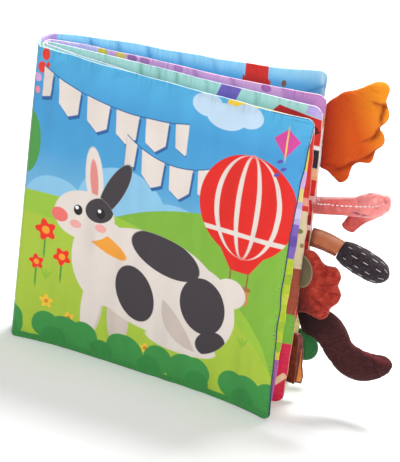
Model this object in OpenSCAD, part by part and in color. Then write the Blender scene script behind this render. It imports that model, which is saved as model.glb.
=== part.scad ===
// Touch and feel cloth book, standing a little fanned on its bottom edges.
// The spine is upright at the origin, +X runs towards the fore-edge and the front cover faces -Y.
// Every panel is two printed cloths sewn round a soft filling, so it is plump in the middle and
// thin along its seams. Stuffed cloth tails are sewn into the fore-edges of the leaves.

/* [Book] */
// Height of the book, foot to head
book_h = 220; // [180:1:260]
// Width of the front cover along its bend, crease to fore-edge
cover_w = 200; // [150:1:230]
// Width of the back cover along its bend
back_w = 191; // [145:1:225]
// Thickness of a cover at its plump middle
cover_t = 6; // [4:0.5:8]
// Thickness of every panel along its sewn edges
seam_t = 1.6; // [1:0.1:2.4]
// Fore-edge of the front cover against its width, at the foot, the middle and the head
front_edge = [1, -5, 0]; // [-8:0.5:2]
// Fore-edge of the back cover at the same three places
back_edge = [0, -2, -1]; // [-8:0.5:2]
// Radius of the sewn corners at the fore-edge
corner_r = 6; // [2:0.5:14]

/* [Leaves] */
// Width of each inner leaf along its bend, fold to fore-edge
leaf_w = 199; // [150:1:230]
// Height that a leaf stands lower than the covers
leaf_short = 2; // [0:0.5:8]
// Thickness of a leaf at its plump middle
leaf_t = 5; // [3:0.5:6]
// How far the heads of the four leaves sink beyond their fold, from the front one
leaf_sink = [3, 7.5, 0.5, 0.5]; // [0:0.5:9]
// Fore-edge of the first leaf against the leaves' width, at the foot, the middle and the head
leaf_1_edge = [-6, -3.5, -3.5]; // [-8:0.5:2]
// Fore-edge of the second leaf at the same three places
leaf_2_edge = [-2, -1, -6]; // [-8:0.5:2]
// Fore-edge of the third leaf
leaf_3_edge = [-6, -1, -4]; // [-8:0.5:2]
// Fore-edge of the rearmost leaf
leaf_4_edge = [-3, -2.5, -5]; // [-8:0.5:2]
// Distance between the roots of the outer pair of leaves, across their fold
outer_fold_d = 13.2; // [11:0.2:16]
// Distance between the roots of the inner pair of leaves
inner_fold_d = 4.8; // [4:0.2:6]
// Thickness of the folded cloth behind the leaves
fold_t = 1.8; // [1.4:0.1:2.2]

/* [Spine] */
// Distance between the two creases where the covers turn
spine_d = 26; // [22:0.5:34]
// How far the spine stands out behind its creases
spine_bulge = 4; // [3.5:0.5:8]
// Thickness of the spine cloth
spine_t = 1.8; // [1.4:0.1:2.4]
// Gap between a cover's sewn edge and the spine cloth at the crease
crease_gap = 0.8; // [0.4:0.1:1.4]
// Gap between the leaves' fold and the inside of the spine
fold_gap = 0.25; // [0.2:0.05:0.6]

/* [Fan] */
// Headings of the front cover's foot in degrees, at the crease, the middle and the fore-edge
front_foot_fan = [4.4, -9.3, -27.6]; // [-30:0.1:8]
// Headings of the front cover's head at the same three places
front_head_fan = [-11.5, -8.3, 1]; // [-30:0.1:8]
// Headings of the back cover
back_fan = [25.5, 4.3, 32.4]; // [2:0.1:34]
// Headings of the first leaf's foot
leaf_1_foot_fan = [1, -7.5, -7]; // [-10:0.5:4]
// Headings of the first leaf's head
leaf_1_head_fan = [-17.5, -5, -5]; // [-22:0.5:-2]
// Headings of the second leaf
leaf_2_fan = [2, -7, -2]; // [-10:0.5:4]
// Headings of the third leaf
leaf_3_fan = [3, -5, -3]; // [-8:0.5:6]
// Headings of the rearmost leaf
leaf_4_fan = [15, -2.5, 14]; // [-6:0.5:18]

/* [Tail seams] */
// Gap between a leaf's fore-edge seam and the tail sewn to it
sewn_gap = 0.2; // [0.1:0.05:0.3]
// Thickness of a tail along its own edge seam
tail_seam_t = 1.2; // [0.8:0.1:2]

/* [Orange tail] */
// Height of the middle of the fan-shaped orange tail
orange_z = 193.5; // [150:0.5:200]
// How far the orange tail reaches out from the fore-edge
orange_len = 39; // [30:1:55]
// Height of the orange tail from its lowest lobe to its highest
orange_h = 78; // [56:1:82]
// Plump thickness of the orange tail
orange_t = 13; // [6:0.5:16]

/* [Pink tail] */
// Height at which the curled pink tail leaves the leaf
pink_z = 150; // [144:0.5:158]
// Width of the pink tail
pink_w = 12; // [8:0.5:14]
// How far the pink tail reaches out from the fore-edge
pink_len = 55; // [46:1:64]
// How far the pink tail rises from its root to the top of its curl
pink_rise = 14; // [8:0.5:18]

/* [Tan tail] */
// Height at which the tan tail leaves the leaf
tan_z = 124; // [119:0.5:130]
// Width of the tan tail where it leaves the leaf
tan_w = 14; // [10:0.5:18]
// Length of the tan tail up to its tuft
tan_len = 21; // [16:1:34]
// How far the tan tail sags before its tuft begins
tan_sag = 4; // [2:0.5:6]
// How far the tan tail droops where the tuft begins, in degrees
tan_droop = 19; // [5:1:30]
// Widest width of the dark tuft
tuft_w = 19; // [12:0.5:24]
// Length of the dark tuft
tuft_len = 38; // [30:1:52]

/* [Rust tail] */
// Height of the middle of the scalloped rust tail
rust_z = 94.5; // [90:0.5:96]
// How far the rust tail reaches out from the fore-edge
rust_len = 29; // [24:1:42]
// Height of the rust tail from its lowest lobe to its top
rust_h = 50; // [36:1:54]
// Plump thickness of the rust tail
rust_t = 10; // [6:0.5:11]
// Height of the oval patch on the front of the rust tail
patch_h = 24; // [14:1:28]
// How far the oval patch reaches out from the fore-edge
patch_w = 9; // [5:0.5:12]
// Thickness of the oval patch
patch_t = 1.2; // [0.8:0.1:2]

/* [Long brown tail] */
// Height at which the long brown tail leaves the leaf
long_z = 60; // [56:0.5:62]
// How far the long brown tail reaches out from the fore-edge
long_len = 68; // [56:1:90]
// How far the long brown tail drops from its root to its lowest stretch
long_drop = 23; // [18:0.5:25]
// Width of the long brown tail
long_w = 24; // [18:0.5:26]

/* [Green tail] */
// Height of the middle of the green tail
green_z = 30; // [24:0.5:42]
// How far the green tail reaches out from the fore-edge
green_len = 13.5; // [10:0.5:24]
// Height of the green tail
green_h = 25; // [16:1:30]
// Plump thickness of the green tail
green_t = 8; // [4:0.5:10]

/* [Folded tail] */
// Height of the foot of the folded two-colour tail
folded_z = 12; // [8:0.5:16]
// Length of the folded tail, foot to top
folded_h = 38; // [26:1:38]
// How far the wider flap reaches out from the fore-edge
folded_len = 8; // [6:0.5:14]
// Thickness of each cloth of the folded tail
folded_t = 1.6; // [1:0.1:2]
// Angle that each flap turns away from the leaf, in degrees
flap_turn = 11; // [10:1:20]
// Thickness of the lining on the wider flap
lining_t = 0.8; // [0.5:0.1:1]

/* [Hidden] */
steps_across = 14; // grid steps over a panel's width
steps_up = 12; // grid steps over a panel's height
ring_steps = 12; // points round a stuffed tube
stuffed_middle = 0.38; // where a flat tail is plumpest, as a share of its reach
root_bend = 0.35; // share of a panel's width over which it bends away from its root
edge_bend = 0.45; // share of its width over which it bends towards its fore-edge
fold_nesting = 0.9; // how far the inner fold lies in front of the outer one, in cloth thicknesses
line_steps = 40; // straight steps that draw a panel's middle line
front_crease = [0, -spine_d / 2];
back_crease = [0, spine_d / 2];
cover_start = spine_t / 2 + crease_gap;
leaf_h = book_h - leaf_short;
outer_fold_x = -spine_bulge + spine_t / 2 + fold_gap + fold_t / 2;
inner_fold_x = outer_fold_x + fold_nesting * fold_t;
leaf_fans = [
    [leaf_1_foot_fan, leaf_1_head_fan], [leaf_2_fan, leaf_2_fan], [leaf_3_fan, leaf_3_fan], [leaf_4_fan, leaf_4_fan]
];
leaf_edges = [leaf_1_edge, leaf_2_edge, leaf_3_edge, leaf_4_edge];
leaf_roots = [
    [0, -outer_fold_d / 2], [fold_t, -inner_fold_d / 2],
    [fold_t, inner_fold_d / 2], [0, outer_fold_d / 2]
];

// Outlines of the flat tails, from the foot of the seam round to its top: reach, then height from the middle,
// as shares of the tail's own length and half its height
orange_lobes = [
    [0, -0.74], [0.2, -0.92], [0.31, -1], [0.44, -0.9], [0.46, -0.66], [0.6, -0.56], [0.8, -0.56], [0.84, -0.33],
    [0.98, -0.18], [0.96, 0], [0.86, 0.12], [1, 0.3], [0.99, 0.45], [0.9, 0.64], [0.95, 0.86], [0.86, 0.98],
    [0.7, 0.99], [0.45, 0.83], [0.2, 0.61], [0, 0.38]
];
rust_lobes = [
    [0, -0.96], [0.17, -0.9], [0.33, -0.94], [0.57, -1.02], [0.75, -0.86], [0.78, -0.6], [0.95, -0.38], [1, -0.1],
    [0.88, 0.12], [0.94, 0.4], [0.8, 0.66], [0.58, 0.64], [0.42, 0.72], [0.3, 0.92], [0.17, 1], [0, 0.96]
];
green_lobes = [
    [0, -0.96], [0.36, -1], [0.73, -0.88], [0.97, -0.52], [1, -0.1],
    [0.85, 0.35], [0.6, 0.74], [0.3, 0.96], [0, 0.96]
];

// Fine steps near both edges and coarse ones between, from 0 to 1
function eased(n) = [for (i = [0:n]) (1 - cos(180 * i / n)) / 2];

// Full in the middle of an edge and nothing at its two corners
function hollow(u) = 1 - pow(abs(2 * u - 1), 4);

// How far a rounded corner takes the fore-edge in, at a distance from the head or foot
function corner_inset(d) = d >= corner_r ? 0 : corner_r - sqrt(pow(corner_r, 2) - pow(corner_r - d, 2));

// Smooth value at fraction v of the height, from the values at the foot, the middle and the head
function through(e, v) = e[0] * (1 - v) * (1 - 2 * v) + e[1] * 4 * v * (1 - v) + e[2] * v * (2 * v - 1);

// Fore-edge of a panel of height h, measured back from its full width, at height z
function fore_edge_inset(edge, z, h) = corner_inset(min(z, h - z)) - through(edge, z / h);

// Heading of a panel's middle line at fraction u of its width
function heading(fan, u) =
    fan[1]
    + (fan[0] - fan[1]) * pow(max(0, 1 - u / root_bend), 2)
    + (fan[2] - fan[1]) * pow(max(0, 1 - (1 - u) / edge_bend), 2);

// The middle line seen from above, in short straight steps from the root
function middle_line(root, fan, w) = [
    for (i = 0, p = root; i <= line_steps;
        a = heading(fan, (i + 0.5) / line_steps),
        p = p + w / line_steps * [cos(a), sin(a)],
        i = i + 1) p
];

// Point at distance s along a middle line, and n to the left of it
function on_line(line, fan, w, s, n) =
    let (
        k = min(line_steps - 1, floor(s / w * line_steps)),
        f = s / w * line_steps - k,
        a = heading(fan, s / w)
    )
    line[k] + (line[k + 1] - line[k]) * f + n * [-sin(a), cos(a)];

// Points of a padded panel: both faces, row by row from the foot up. Its foot follows the first of two
// middle lines and its head the second one, and the head sinks towards the fore-edge
function panel_points(root, fans, w, h, t, edge, sink, start) =
    let (lines = [for (fan = fans) middle_line(root, fan, w)])
    [
        for (side = [-0.5, 0.5], v = eased(steps_up), u = eased(steps_across))
            let (
                z = h * v,
                s = start + u * (w - start - fore_edge_inset(edge, z, h)),
                n = side * (seam_t + (t - seam_t) * hollow(u) * hollow(v)),
                foot = on_line(lines[0], fans[0], w, s, n),
                head = on_line(lines[1], fans[1], w, s, n),
                p = foot + (head - foot) * v
            )
            [p[0], p[1], z - sink * v * (1 - pow(1 - u, 4))]
    ];

// Triangles of a closed sheet made of two grids of nu by nv steps, the first one facing -y
function sheet_faces(nu, nv) =
    let (layer = (nu + 1) * (nv + 1))
    concat(
        [for (j = [0:nv - 1], i = [0:nu - 1], f = two_triangles(i, i + 1, j, j + 1, nu, 0)) f],
        [for (j = [0:nv - 1], i = [0:nu - 1], f = two_triangles(i + 1, i, j, j + 1, nu, layer)) f],
        [for (i = [0:nu - 1], f = rim(i, i + 1, layer)) f],
        [for (i = [0:nu - 1], f = rim(nv * (nu + 1) + i + 1, nv * (nu + 1) + i, layer)) f],
        [for (j = [0:nv - 1], f = rim((j + 1) * (nu + 1), j * (nu + 1), layer)) f],
        [for (j = [0:nv - 1], f = rim(j * (nu + 1) + nu, (j + 1) * (nu + 1) + nu, layer)) f]
    );
function two_triangles(i, k, j, l, nu, layer) =
    let (p = layer + j * (nu + 1), q = layer + l * (nu + 1))
    [[p + i, q + k, p + k], [p + i, q + i, q + k]];
function rim(p, q, layer) = [[p, q, q + layer], [p, q + layer, p + layer]];

module padded_panel(root, fans, w, h, t, edge, sink, start) {
    polyhedron(
        points = panel_points(root, fans, w, h, t, edge, sink, start),
        faces = sheet_faces(steps_across, steps_up),
        convexity = 4
    );
}

module front_cover() {
    color("deepskyblue") padded_panel(
        front_crease, [front_foot_fan, front_head_fan], cover_w, book_h, cover_t, front_edge, 0, cover_start
    );
}

module back_cover() {
    color("deepskyblue")
        padded_panel(back_crease, [back_fan, back_fan], back_w, book_h, cover_t, back_edge, 0, cover_start);
}

// Upright band of cloth with rounded ends, bent to an arc whose ends lie on x = 0
module bent_band(ends, chord, bulge, t, h) {
    r = (pow(chord / 2, 2) + pow(bulge, 2)) / (2 * bulge);
    half = asin(chord / 2 / r);
    translate([ends + r - bulge, 0, 0]) {
        rotate(180 - half)
            rotate_extrude(angle = 2 * half, $fn = 96) translate([r - t / 2, 0]) square([t, h]);
        for (a = [180 - half, 180 + half]) rotate(a) translate([r, 0, 0]) cylinder(d = t, h = h, $fn = 24);
    }
}

module spine() {
    color("deepskyblue") bent_band(0, spine_d, spine_bulge, spine_t, book_h);
}

module pages() {
    color("plum") {
        bent_band(0, outer_fold_d, -outer_fold_x, fold_t, leaf_h);
        bent_band(fold_t, inner_fold_d, fold_t - inner_fold_x, fold_t, leaf_h);
        for (i = [0:3])
            padded_panel(leaf_roots[i], leaf_fans[i], leaf_w, leaf_h, leaf_t, leaf_edges[i], leaf_sink[i], 0);
    }
}

// Smooth curve through chosen points, n steps between neighbours
function spline(a, b, c, d, t) =
    0.5 * (2 * b + (c - a) * t + (2 * a - 5 * b + 4 * c - d) * t * t + (3 * b - a - 3 * c + d) * t * t * t);
function smooth_path(p, n) =
    let (m = len(p) - 1)
    concat(
        [for (i = [0:m - 1], k = [0:n - 1])
            spline(p[max(i - 1, 0)], p[i], p[i + 1], p[min(i + 2, m)], k / n)],
        [p[m]]
    );

// Places a tail at the fore-edge of a leaf: x runs out of the book, y across the leaf, z up
module at_fore_edge(leaf) {
    fan = leaf_fans[leaf][0];
    line = middle_line(leaf_roots[leaf], fan, leaf_w);
    translate([line[line_steps][0], line[line_steps][1], 0]) rotate(fan[2]) children();
}

// Point on a leaf's fore-edge seam at height z, in a tail's own axes: straight between the rows of the leaf
function row_z(k) = leaf_h * (1 - cos(180 * k / steps_up)) / 2;
function seam_x(leaf, z) =
    let (
        level = z * leaf_h / (leaf_h - leaf_sink[leaf]),
        k = min(steps_up - 1, floor(acos(1 - 2 * level / leaf_h) / 180 * steps_up)),
        f = (level - row_z(k)) / (row_z(k + 1) - row_z(k)),
        below = fore_edge_inset(leaf_edges[leaf], row_z(k), leaf_h),
        above = fore_edge_inset(leaf_edges[leaf], row_z(k + 1), leaf_h)
    )
    sewn_gap - below - (above - below) * f;

// Half thickness of a stuffed shape, from its edge seam at f = 1 to its middle at f = 0
function plump(t, f) = tail_seam_t / 2 + (t - tail_seam_t) / 2 * pow(max(0, 1 - f * f), 0.6);

// Tube of stuffed cloth along stations [x, y, z, half height, half thickness], where x runs out of the book.
// It starts on the seam of the given leaf, or at its first station where there is none
module stuffed_tube(stations, leaf = undef) {
    from_seam = !is_undef(leaf);
    n = len(stations) - 1;
    function at(k) = [for (i = [0:2]) stations[k][i]];
    function along(k) = let (d = at(min(k + 1, n)) - at(max(k - 1, 0))) d / norm(d);
    function up(k) = let (d = along(k), u = [0, 0, 1] - d[2] * d) u / norm(u);
    points = concat(
        [for (k = [0:n], j = [0:ring_steps - 1])
            let (s = stations[k], a = 360 * j / ring_steps, rise = s[3] * sin(a), out = s[4] * cos(a))
            k == 0 && from_seam ? [seam_x(leaf, s[2] + rise), s[1] + out, s[2] + rise]
                : at(k) + rise * up(k) + out * cross(up(k), along(k))],
        [from_seam ? [seam_x(leaf, stations[0][2]), stations[0][1], stations[0][2]] : at(0)],
        [at(n)]
    );
    last = (n + 1) * ring_steps;
    polyhedron(
        points = points,
        faces = concat(
            [for (k = [0:n - 1], j = [0:ring_steps - 1]) let (q = (j + 1) % ring_steps)
                [k * ring_steps + j, (k + 1) * ring_steps + q, (k + 1) * ring_steps + j]],
            [for (k = [0:n - 1], j = [0:ring_steps - 1]) let (q = (j + 1) % ring_steps)
                [k * ring_steps + j, k * ring_steps + q, (k + 1) * ring_steps + q]],
            [for (j = [0:ring_steps - 1]) [last, (j + 1) % ring_steps, j]],
            [for (j = [0:ring_steps - 1]) [last + 1, n * ring_steps + j, n * ring_steps + (j + 1) % ring_steps]]
        ),
        convexity = 4
    );
}

// Flat stuffed shape with lobes round its outer side, reach and height z as shares of len and h / 2
module stuffed_shape(leaf, lobes, middle_z, len, h, t) {
    outer = [for (p = lobes) [p[0] * len, middle_z + p[1] * h / 2]];
    centre = [stuffed_middle * len, middle_z];
    curve = smooth_path(outer, 3);
    top = curve[len(curve) - 1];
    seam = [for (k = [0:6]) let (z = top[1] + (curve[0][1] - top[1]) * k / 6) [seam_x(leaf, z), z]];
    outline = concat([for (k = [1:len(curve) - 2]) curve[k]], seam);
    n = len(outline);
    shells = [1, 0.93, 0.8, 0.6, 0.35];
    m = len(shells);
    points = concat(
        [for (side = [-1, 1], f = shells, p = outline)
            [centre[0] + (p[0] - centre[0]) * f, side * plump(t, f), centre[1] + (p[1] - centre[1]) * f]],
        [for (side = [-1, 1]) [centre[0], side * plump(t, 0), centre[1]]]
    );
    polyhedron(
        points = points,
        faces = concat(
            [for (k = [0:m - 2], j = [0:n - 1], f = shell_pair(k * n, j, n, false)) f],
            [for (k = [0:m - 2], j = [0:n - 1], f = shell_pair((m + k) * n, j, n, true)) f],
            [for (j = [0:n - 1]) [2 * m * n, (m - 1) * n + (j + 1) % n, (m - 1) * n + j]],
            [for (j = [0:n - 1]) [2 * m * n + 1, (2 * m - 1) * n + j, (2 * m - 1) * n + (j + 1) % n]],
            [for (j = [0:n - 1]) [j, (j + 1) % n, m * n + (j + 1) % n]],
            [for (j = [0:n - 1]) [j, m * n + (j + 1) % n, m * n + j]]
        ),
        convexity = 4
    );
}
function shell_pair(base, j, n, turned) =
    let (a = base + j, b = base + (j + 1) % n, c = b + n, d = a + n)
    turned ? [[a, b, c], [a, c, d]] : [[a, c, b], [a, d, c]];

module orange_tail() {
    color("darkorange") at_fore_edge(3)
        stuffed_shape(3, orange_lobes, orange_z, orange_len, orange_h, orange_t);
}

// Out from the leaf, round in a curl and back down behind itself
module pink_tail() {
    h = pink_w / 2;
    l = pink_len;
    function level(share) = pink_z + pink_rise * share;
    color("lightcoral") at_fore_edge(1) stuffed_tube(smooth_path([
        [0, 0, pink_z, h, tail_seam_t / 2], [0.15 * l, -0.1 * h, level(0.1), h, 0.75 * h],
        [0.42 * l, -0.3 * h, level(0.43), h, 0.9 * h], [0.72 * l, -0.4 * h, level(0.75), 1.2 * h, 0.9 * h],
        [0.89 * l, 0.4 * h, level(0.85), 1.45 * h, 0.75 * h], [0.75 * l, 1.6 * h, level(0.5), 1.2 * h, 0.8 * h],
        [0.53 * l, 1.7 * h, level(-0.1), h, 0.8 * h], [0.39 * l, 1.6 * h, level(-0.85), 0.9 * h, 0.7 * h],
        [0.35 * l, 1.5 * h, level(-1.1), 0.6 * h, 0.4 * h]
    ], 2), 1);
}

// The tan tube droops a little, and the tuft carries on from its end along the same line
function tan_at(d) = [tan_len + d * cos(tan_droop), 0, tan_z - tan_sag - d * sin(tan_droop)];

module tan_tail() {
    h = tan_w / 2;
    color("peru") at_fore_edge(2) stuffed_tube([
        [0, 0, tan_z, h, tail_seam_t / 2], [0.15 * tan_len, 0, tan_z - 0.07 * tan_sag, h, 0.7 * h],
        [0.5 * tan_len, 0, tan_z - 0.3 * tan_sag, 0.95 * h, 0.9 * h], concat(tan_at(-0.08 * tan_len), [0.9 * h, 0.9 * h]),
        concat(tan_at(0), [0.9 * h, 0.9 * h])
    ], 2);
}

module tan_tail_tuft() {
    h = tuft_w / 2;
    start = 0.45 * tan_w;
    color("dimgray") at_fore_edge(2) stuffed_tube([
        concat(tan_at(sewn_gap), [start, start]), concat(tan_at(0.06 * tuft_len), [0.8 * h, 0.7 * h]),
        concat(tan_at(0.25 * tuft_len), [0.95 * h, 0.9 * h]), concat(tan_at(0.5 * tuft_len), [h, 0.9 * h]),
        concat(tan_at(0.75 * tuft_len), [0.92 * h, 0.85 * h]), concat(tan_at(0.92 * tuft_len), [0.65 * h, 0.6 * h]),
        concat(tan_at(tuft_len), [0.25 * h, 0.2 * h])
    ]);
}

module rust_tail() {
    color("firebrick") at_fore_edge(1) stuffed_shape(1, rust_lobes, rust_z, rust_len, rust_h, rust_t);
}

// The oval patch follows the plump front of the rust tail
module rust_tail_patch() {
    nu = 6;
    nv = 8;
    patch_lift = 0.18 * rust_h;
    middle = stuffed_middle * rust_len;
    points = [
        for (side = [1, 0], j = [0:nv], i = [0:nu])
            let (
                u = i / nu, v = 2 * j / nv - 1,
                z = rust_z + patch_lift + v * patch_h / 2 * sqrt(1 - 0.97 * u * u),
                x = seam_x(1, z) + patch_w * u,
                back = plump(rust_t, (middle - x) / (middle - seam_x(1, z))) + 2 * sewn_gap
            )
            [x, -back - side * patch_t, z]
    ];
    color("darkkhaki") at_fore_edge(1)
        polyhedron(points = points, faces = sheet_faces(nu, nv), convexity = 4);
}

// An S on its side: out level, down, and out again to a blunt tip
module long_brown_tail() {
    h = long_w / 2;
    l = long_len;
    function level(share) = long_z - long_drop * share;
    color("saddlebrown") at_fore_edge(2) stuffed_tube(smooth_path([
        [0, 0, long_z, 0.7 * h, tail_seam_t / 2], [0.07 * l, 0, level(-0.06), 0.85 * h, 0.3 * h],
        [0.21 * l, 0, level(-0.06), h, 0.5 * h], [0.38 * l, 0, level(0.22), h, 0.55 * h],
        [0.51 * l, 0, level(0.7), 0.96 * h, 0.55 * h], [0.63 * l, 0, level(1), 0.96 * h, 0.55 * h],
        [0.79 * l, 0, level(1), 0.88 * h, 0.5 * h], [0.92 * l, 0, level(0.89), 0.62 * h, 0.4 * h],
        [l, 0, level(0.78), 0.3 * h, 0.2 * h]
    ], 2), 2);
}

module green_tail() {
    color("seagreen") at_fore_edge(3) stuffed_shape(3, green_lobes, green_z, green_len, green_h, green_t);
}

// One flap of the folded tail: a sheet standing at an angle to the leaf, cut to an outline of [x, z]
module flap(turn, y, t, outline) {
    translate([0, y, 0]) rotate(turn) rotate([90, 0, 0]) linear_extrude(t, center = true) polygon(outline);
}

// A flap's edge along the seam, from the top of the folded tail down to its foot
flap_seam = [for (k = [4:-1:0]) let (z = folded_z + folded_h * k / 4) [seam_x(2, z), z]];

module folded_tail() {
    l = folded_len;
    color("brown") at_fore_edge(2) {
        flap(-flap_turn, -folded_t / 2, folded_t, concat(flap_seam, [
            [0.4 * l, folded_z], [0.35 * l, folded_z + 0.4 * folded_h], [0.25 * l, folded_z + 0.9 * folded_h],
            [0.1 * l, folded_z + folded_h]
        ]));
        flap(flap_turn, folded_t / 2, folded_t, concat(flap_seam, [
            [0.9 * l, folded_z], [l, folded_z + 0.14 * folded_h], [0.75 * l, folded_z + 0.34 * folded_h],
            [0.7 * l, folded_z + 0.58 * folded_h], [0.5 * l, folded_z + 0.88 * folded_h], [0.2 * l, folded_z + folded_h]
        ]));
    }
}

// The lining lies on the inside of the wider flap, clear of the narrower one
module folded_tail_lining() {
    l = folded_len;
    color("orange") at_fore_edge(2) flap(flap_turn, -lining_t / 2 - sewn_gap / 2, lining_t, [
        [0.46 * l, folded_z + 0.05 * folded_h], [0.84 * l, folded_z + 0.05 * folded_h],
        [0.92 * l, folded_z + 0.15 * folded_h], [0.66 * l, folded_z + 0.34 * folded_h],
        [0.6 * l, folded_z + 0.58 * folded_h], [0.48 * l, folded_z + 0.8 * folded_h]
    ]);
}

front_cover();
back_cover();
spine();
pages();
orange_tail();
pink_tail();
tan_tail();
tan_tail_tuft();
rust_tail();
rust_tail_patch();
long_brown_tail();
green_tail();
folded_tail();
folded_tail_lining();
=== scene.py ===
# %% [markdown]
# # A touch and feel cloth book
# This lesson dresses a finished construction model in cloth. The book stands a little fanned. It has two
# padded covers that wrap round the spine, four padded leaves folded one pair inside the other, and stuffed
# tails of different fabrics sewn into the fore-edges. Everything is in metres, in the construction's own
# frame: the spine is upright at the origin, +X runs to the fore-edge, and the front cover faces -Y.

# %% Load the construction
import math

import bpy
import numpy as np
from mathutils import Matrix, Vector


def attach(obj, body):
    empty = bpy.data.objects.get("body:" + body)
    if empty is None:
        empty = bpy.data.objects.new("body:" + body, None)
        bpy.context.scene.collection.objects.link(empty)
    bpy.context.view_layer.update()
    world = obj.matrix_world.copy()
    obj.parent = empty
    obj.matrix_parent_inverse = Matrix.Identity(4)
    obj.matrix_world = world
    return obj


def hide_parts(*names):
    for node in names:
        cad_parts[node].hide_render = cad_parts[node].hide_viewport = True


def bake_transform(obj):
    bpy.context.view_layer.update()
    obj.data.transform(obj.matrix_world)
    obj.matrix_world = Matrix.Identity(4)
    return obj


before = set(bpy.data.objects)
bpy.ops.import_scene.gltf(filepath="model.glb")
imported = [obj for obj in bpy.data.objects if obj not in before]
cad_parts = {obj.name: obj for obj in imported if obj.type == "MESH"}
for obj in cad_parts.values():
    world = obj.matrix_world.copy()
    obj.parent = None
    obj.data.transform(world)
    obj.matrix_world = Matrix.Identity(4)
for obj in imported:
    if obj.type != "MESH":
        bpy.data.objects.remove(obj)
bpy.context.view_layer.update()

MM = 0.001

# %% [markdown]
# ## Camera
# The photograph looks down on the book a little and from slightly right of the front cover, with a long lens
# and with the camera turned about its own axis, which makes the book lean. The yaw, pitch and roll are set as
# angles, and the camera's matrix is built from them, because a tracking constraint can't hold a roll.

# %% Camera
CAMERA_AT = (0.5400, -1.8076, 0.9858)
YAW, PITCH, ROLL = (math.radians(a) for a in (13.05, 25.4, 6.9))
LENS = 233.8


def add_camera():
    data = bpy.data.cameras.new("camera")
    data.lens = LENS
    camera = bpy.data.objects.new("camera", data)
    bpy.context.scene.collection.objects.link(camera)
    right = Vector((math.cos(YAW), math.sin(YAW), 0))
    ahead = Vector((-math.sin(YAW) * math.cos(PITCH), math.cos(YAW) * math.cos(PITCH), -math.sin(PITCH)))
    up = right.cross(ahead)
    turned_right = right * math.cos(ROLL) + up * math.sin(ROLL)
    turned_up = up * math.cos(ROLL) - right * math.sin(ROLL)
    axes = Matrix((turned_right, turned_up, -ahead)).transposed().to_4x4()
    camera.matrix_world = Matrix.Translation(CAMERA_AT) @ axes
    bpy.context.scene.camera = camera


add_camera()
print("camera looks down", round(math.degrees(PITCH), 1), "degrees")

# %% [markdown]
# ## Small helpers
# Colours are written as they look on a screen, in hexadecimal, and Blender's sockets want linear light, so one
# function changes them. Another adds a shader node and fills its sockets in one line, which keeps the
# materials readable.


# %% Helpers
def colour(code):
    """Screen colour such as "4AA8DC" as linear RGBA."""
    parts = [int(code[i : i + 2], 16) / 255 for i in (0, 2, 4)]
    return [c / 12.92 if c <= 0.04045 else ((c + 0.055) / 1.055) ** 2.4 for c in parts] + [1.0]


def add_node(tree, kind, sockets=(), **settings):
    """A new shader node. Sockets are given by name or number, as a value or as another node's output."""
    node = tree.nodes.new(kind)
    for key, value in settings.items():
        setattr(node, key, value)
    for key, value in dict(sockets).items():
        if isinstance(value, bpy.types.NodeSocket):
            tree.links.new(value, node.inputs[key])
        else:
            node.inputs[key].default_value = value
    return node


def math_node(tree, operation, *values, clamp=False):
    sockets = {i: v for i, v in enumerate(values)}
    return add_node(tree, "ShaderNodeMath", sockets, operation=operation, use_clamp=clamp).outputs[0]


def vector_node(tree, operation, *values):
    sockets = {i: v for i, v in enumerate(values)}
    node = add_node(tree, "ShaderNodeVectorMath", sockets, operation=operation)
    return node.outputs["Value" if operation in ("LENGTH", "DOT_PRODUCT") else "Vector"]


def attribute(tree, name, output="Fac"):
    return add_node(tree, "ShaderNodeAttribute", attribute_name=name).outputs[output]


def object_places(tree):
    return add_node(tree, "ShaderNodeTexCoord").outputs["Object"]


def noise(tree, where, scale, detail=2.0):
    return add_node(tree, "ShaderNodeTexNoise", {"Vector": where, "Scale": scale, "Detail": detail}).outputs[0]


def bump(tree, height, strength, distance, **below):
    """Dents without geometry. They may lie on the dents of another bump node, given as Normal."""
    sockets = {"Height": height, "Strength": strength, "Distance": distance, **below}
    return add_node(tree, "ShaderNodeBump", sockets).outputs[0]


def set_values(shader, values):
    for name, value in values.items():
        shader.inputs[name].default_value = value


def new_material(name):
    material = bpy.data.materials.new(name)
    material.use_nodes = True
    tree = material.node_tree
    return material, tree, tree.nodes["Principled BSDF"]


def deselect():
    bpy.ops.object.select_all(action="DESELECT")


def choose(piece):
    deselect()
    piece.select_set(True)
    bpy.context.view_layer.objects.active = piece


def points_of(piece):
    values = np.zeros(len(piece.data.vertices) * 3, np.float32)
    piece.data.vertices.foreach_get("co", values)
    return values.reshape(-1, 3).astype(float)


def move_points(piece, points):
    piece.data.vertices.foreach_set("co", np.asarray(points, np.float32).ravel())
    piece.data.update()


def remember(piece, name, values):
    """Stores one number or one vector for each vertex, which a material can read."""
    values = np.asarray(values, np.float32)
    kind = "FLOAT" if values.ndim == 1 else "FLOAT_VECTOR"
    attribute = piece.data.attributes.new(name, kind, "POINT")
    attribute.data.foreach_set("value" if kind == "FLOAT" else "vector", values.ravel())


def smoothstep(x, low, high):
    t = np.clip((x - low) / (high - low), 0, 1)
    return t * t * (3 - 2 * t)


# %% [markdown]
# ## Floor and light
# The studio is a white sweep. A soft lamp hangs above and behind the book, so its shadow falls in front, to
# the left. A low lamp from the front right lights the covers and the fore-edges. The camera sees the floor a
# little brighter than it is lit, which leaves it white and keeps the shadow.


# %% Floor and light
FLOOR_LIFT, WORLD_LIGHT = 0.17, 0.42


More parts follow.
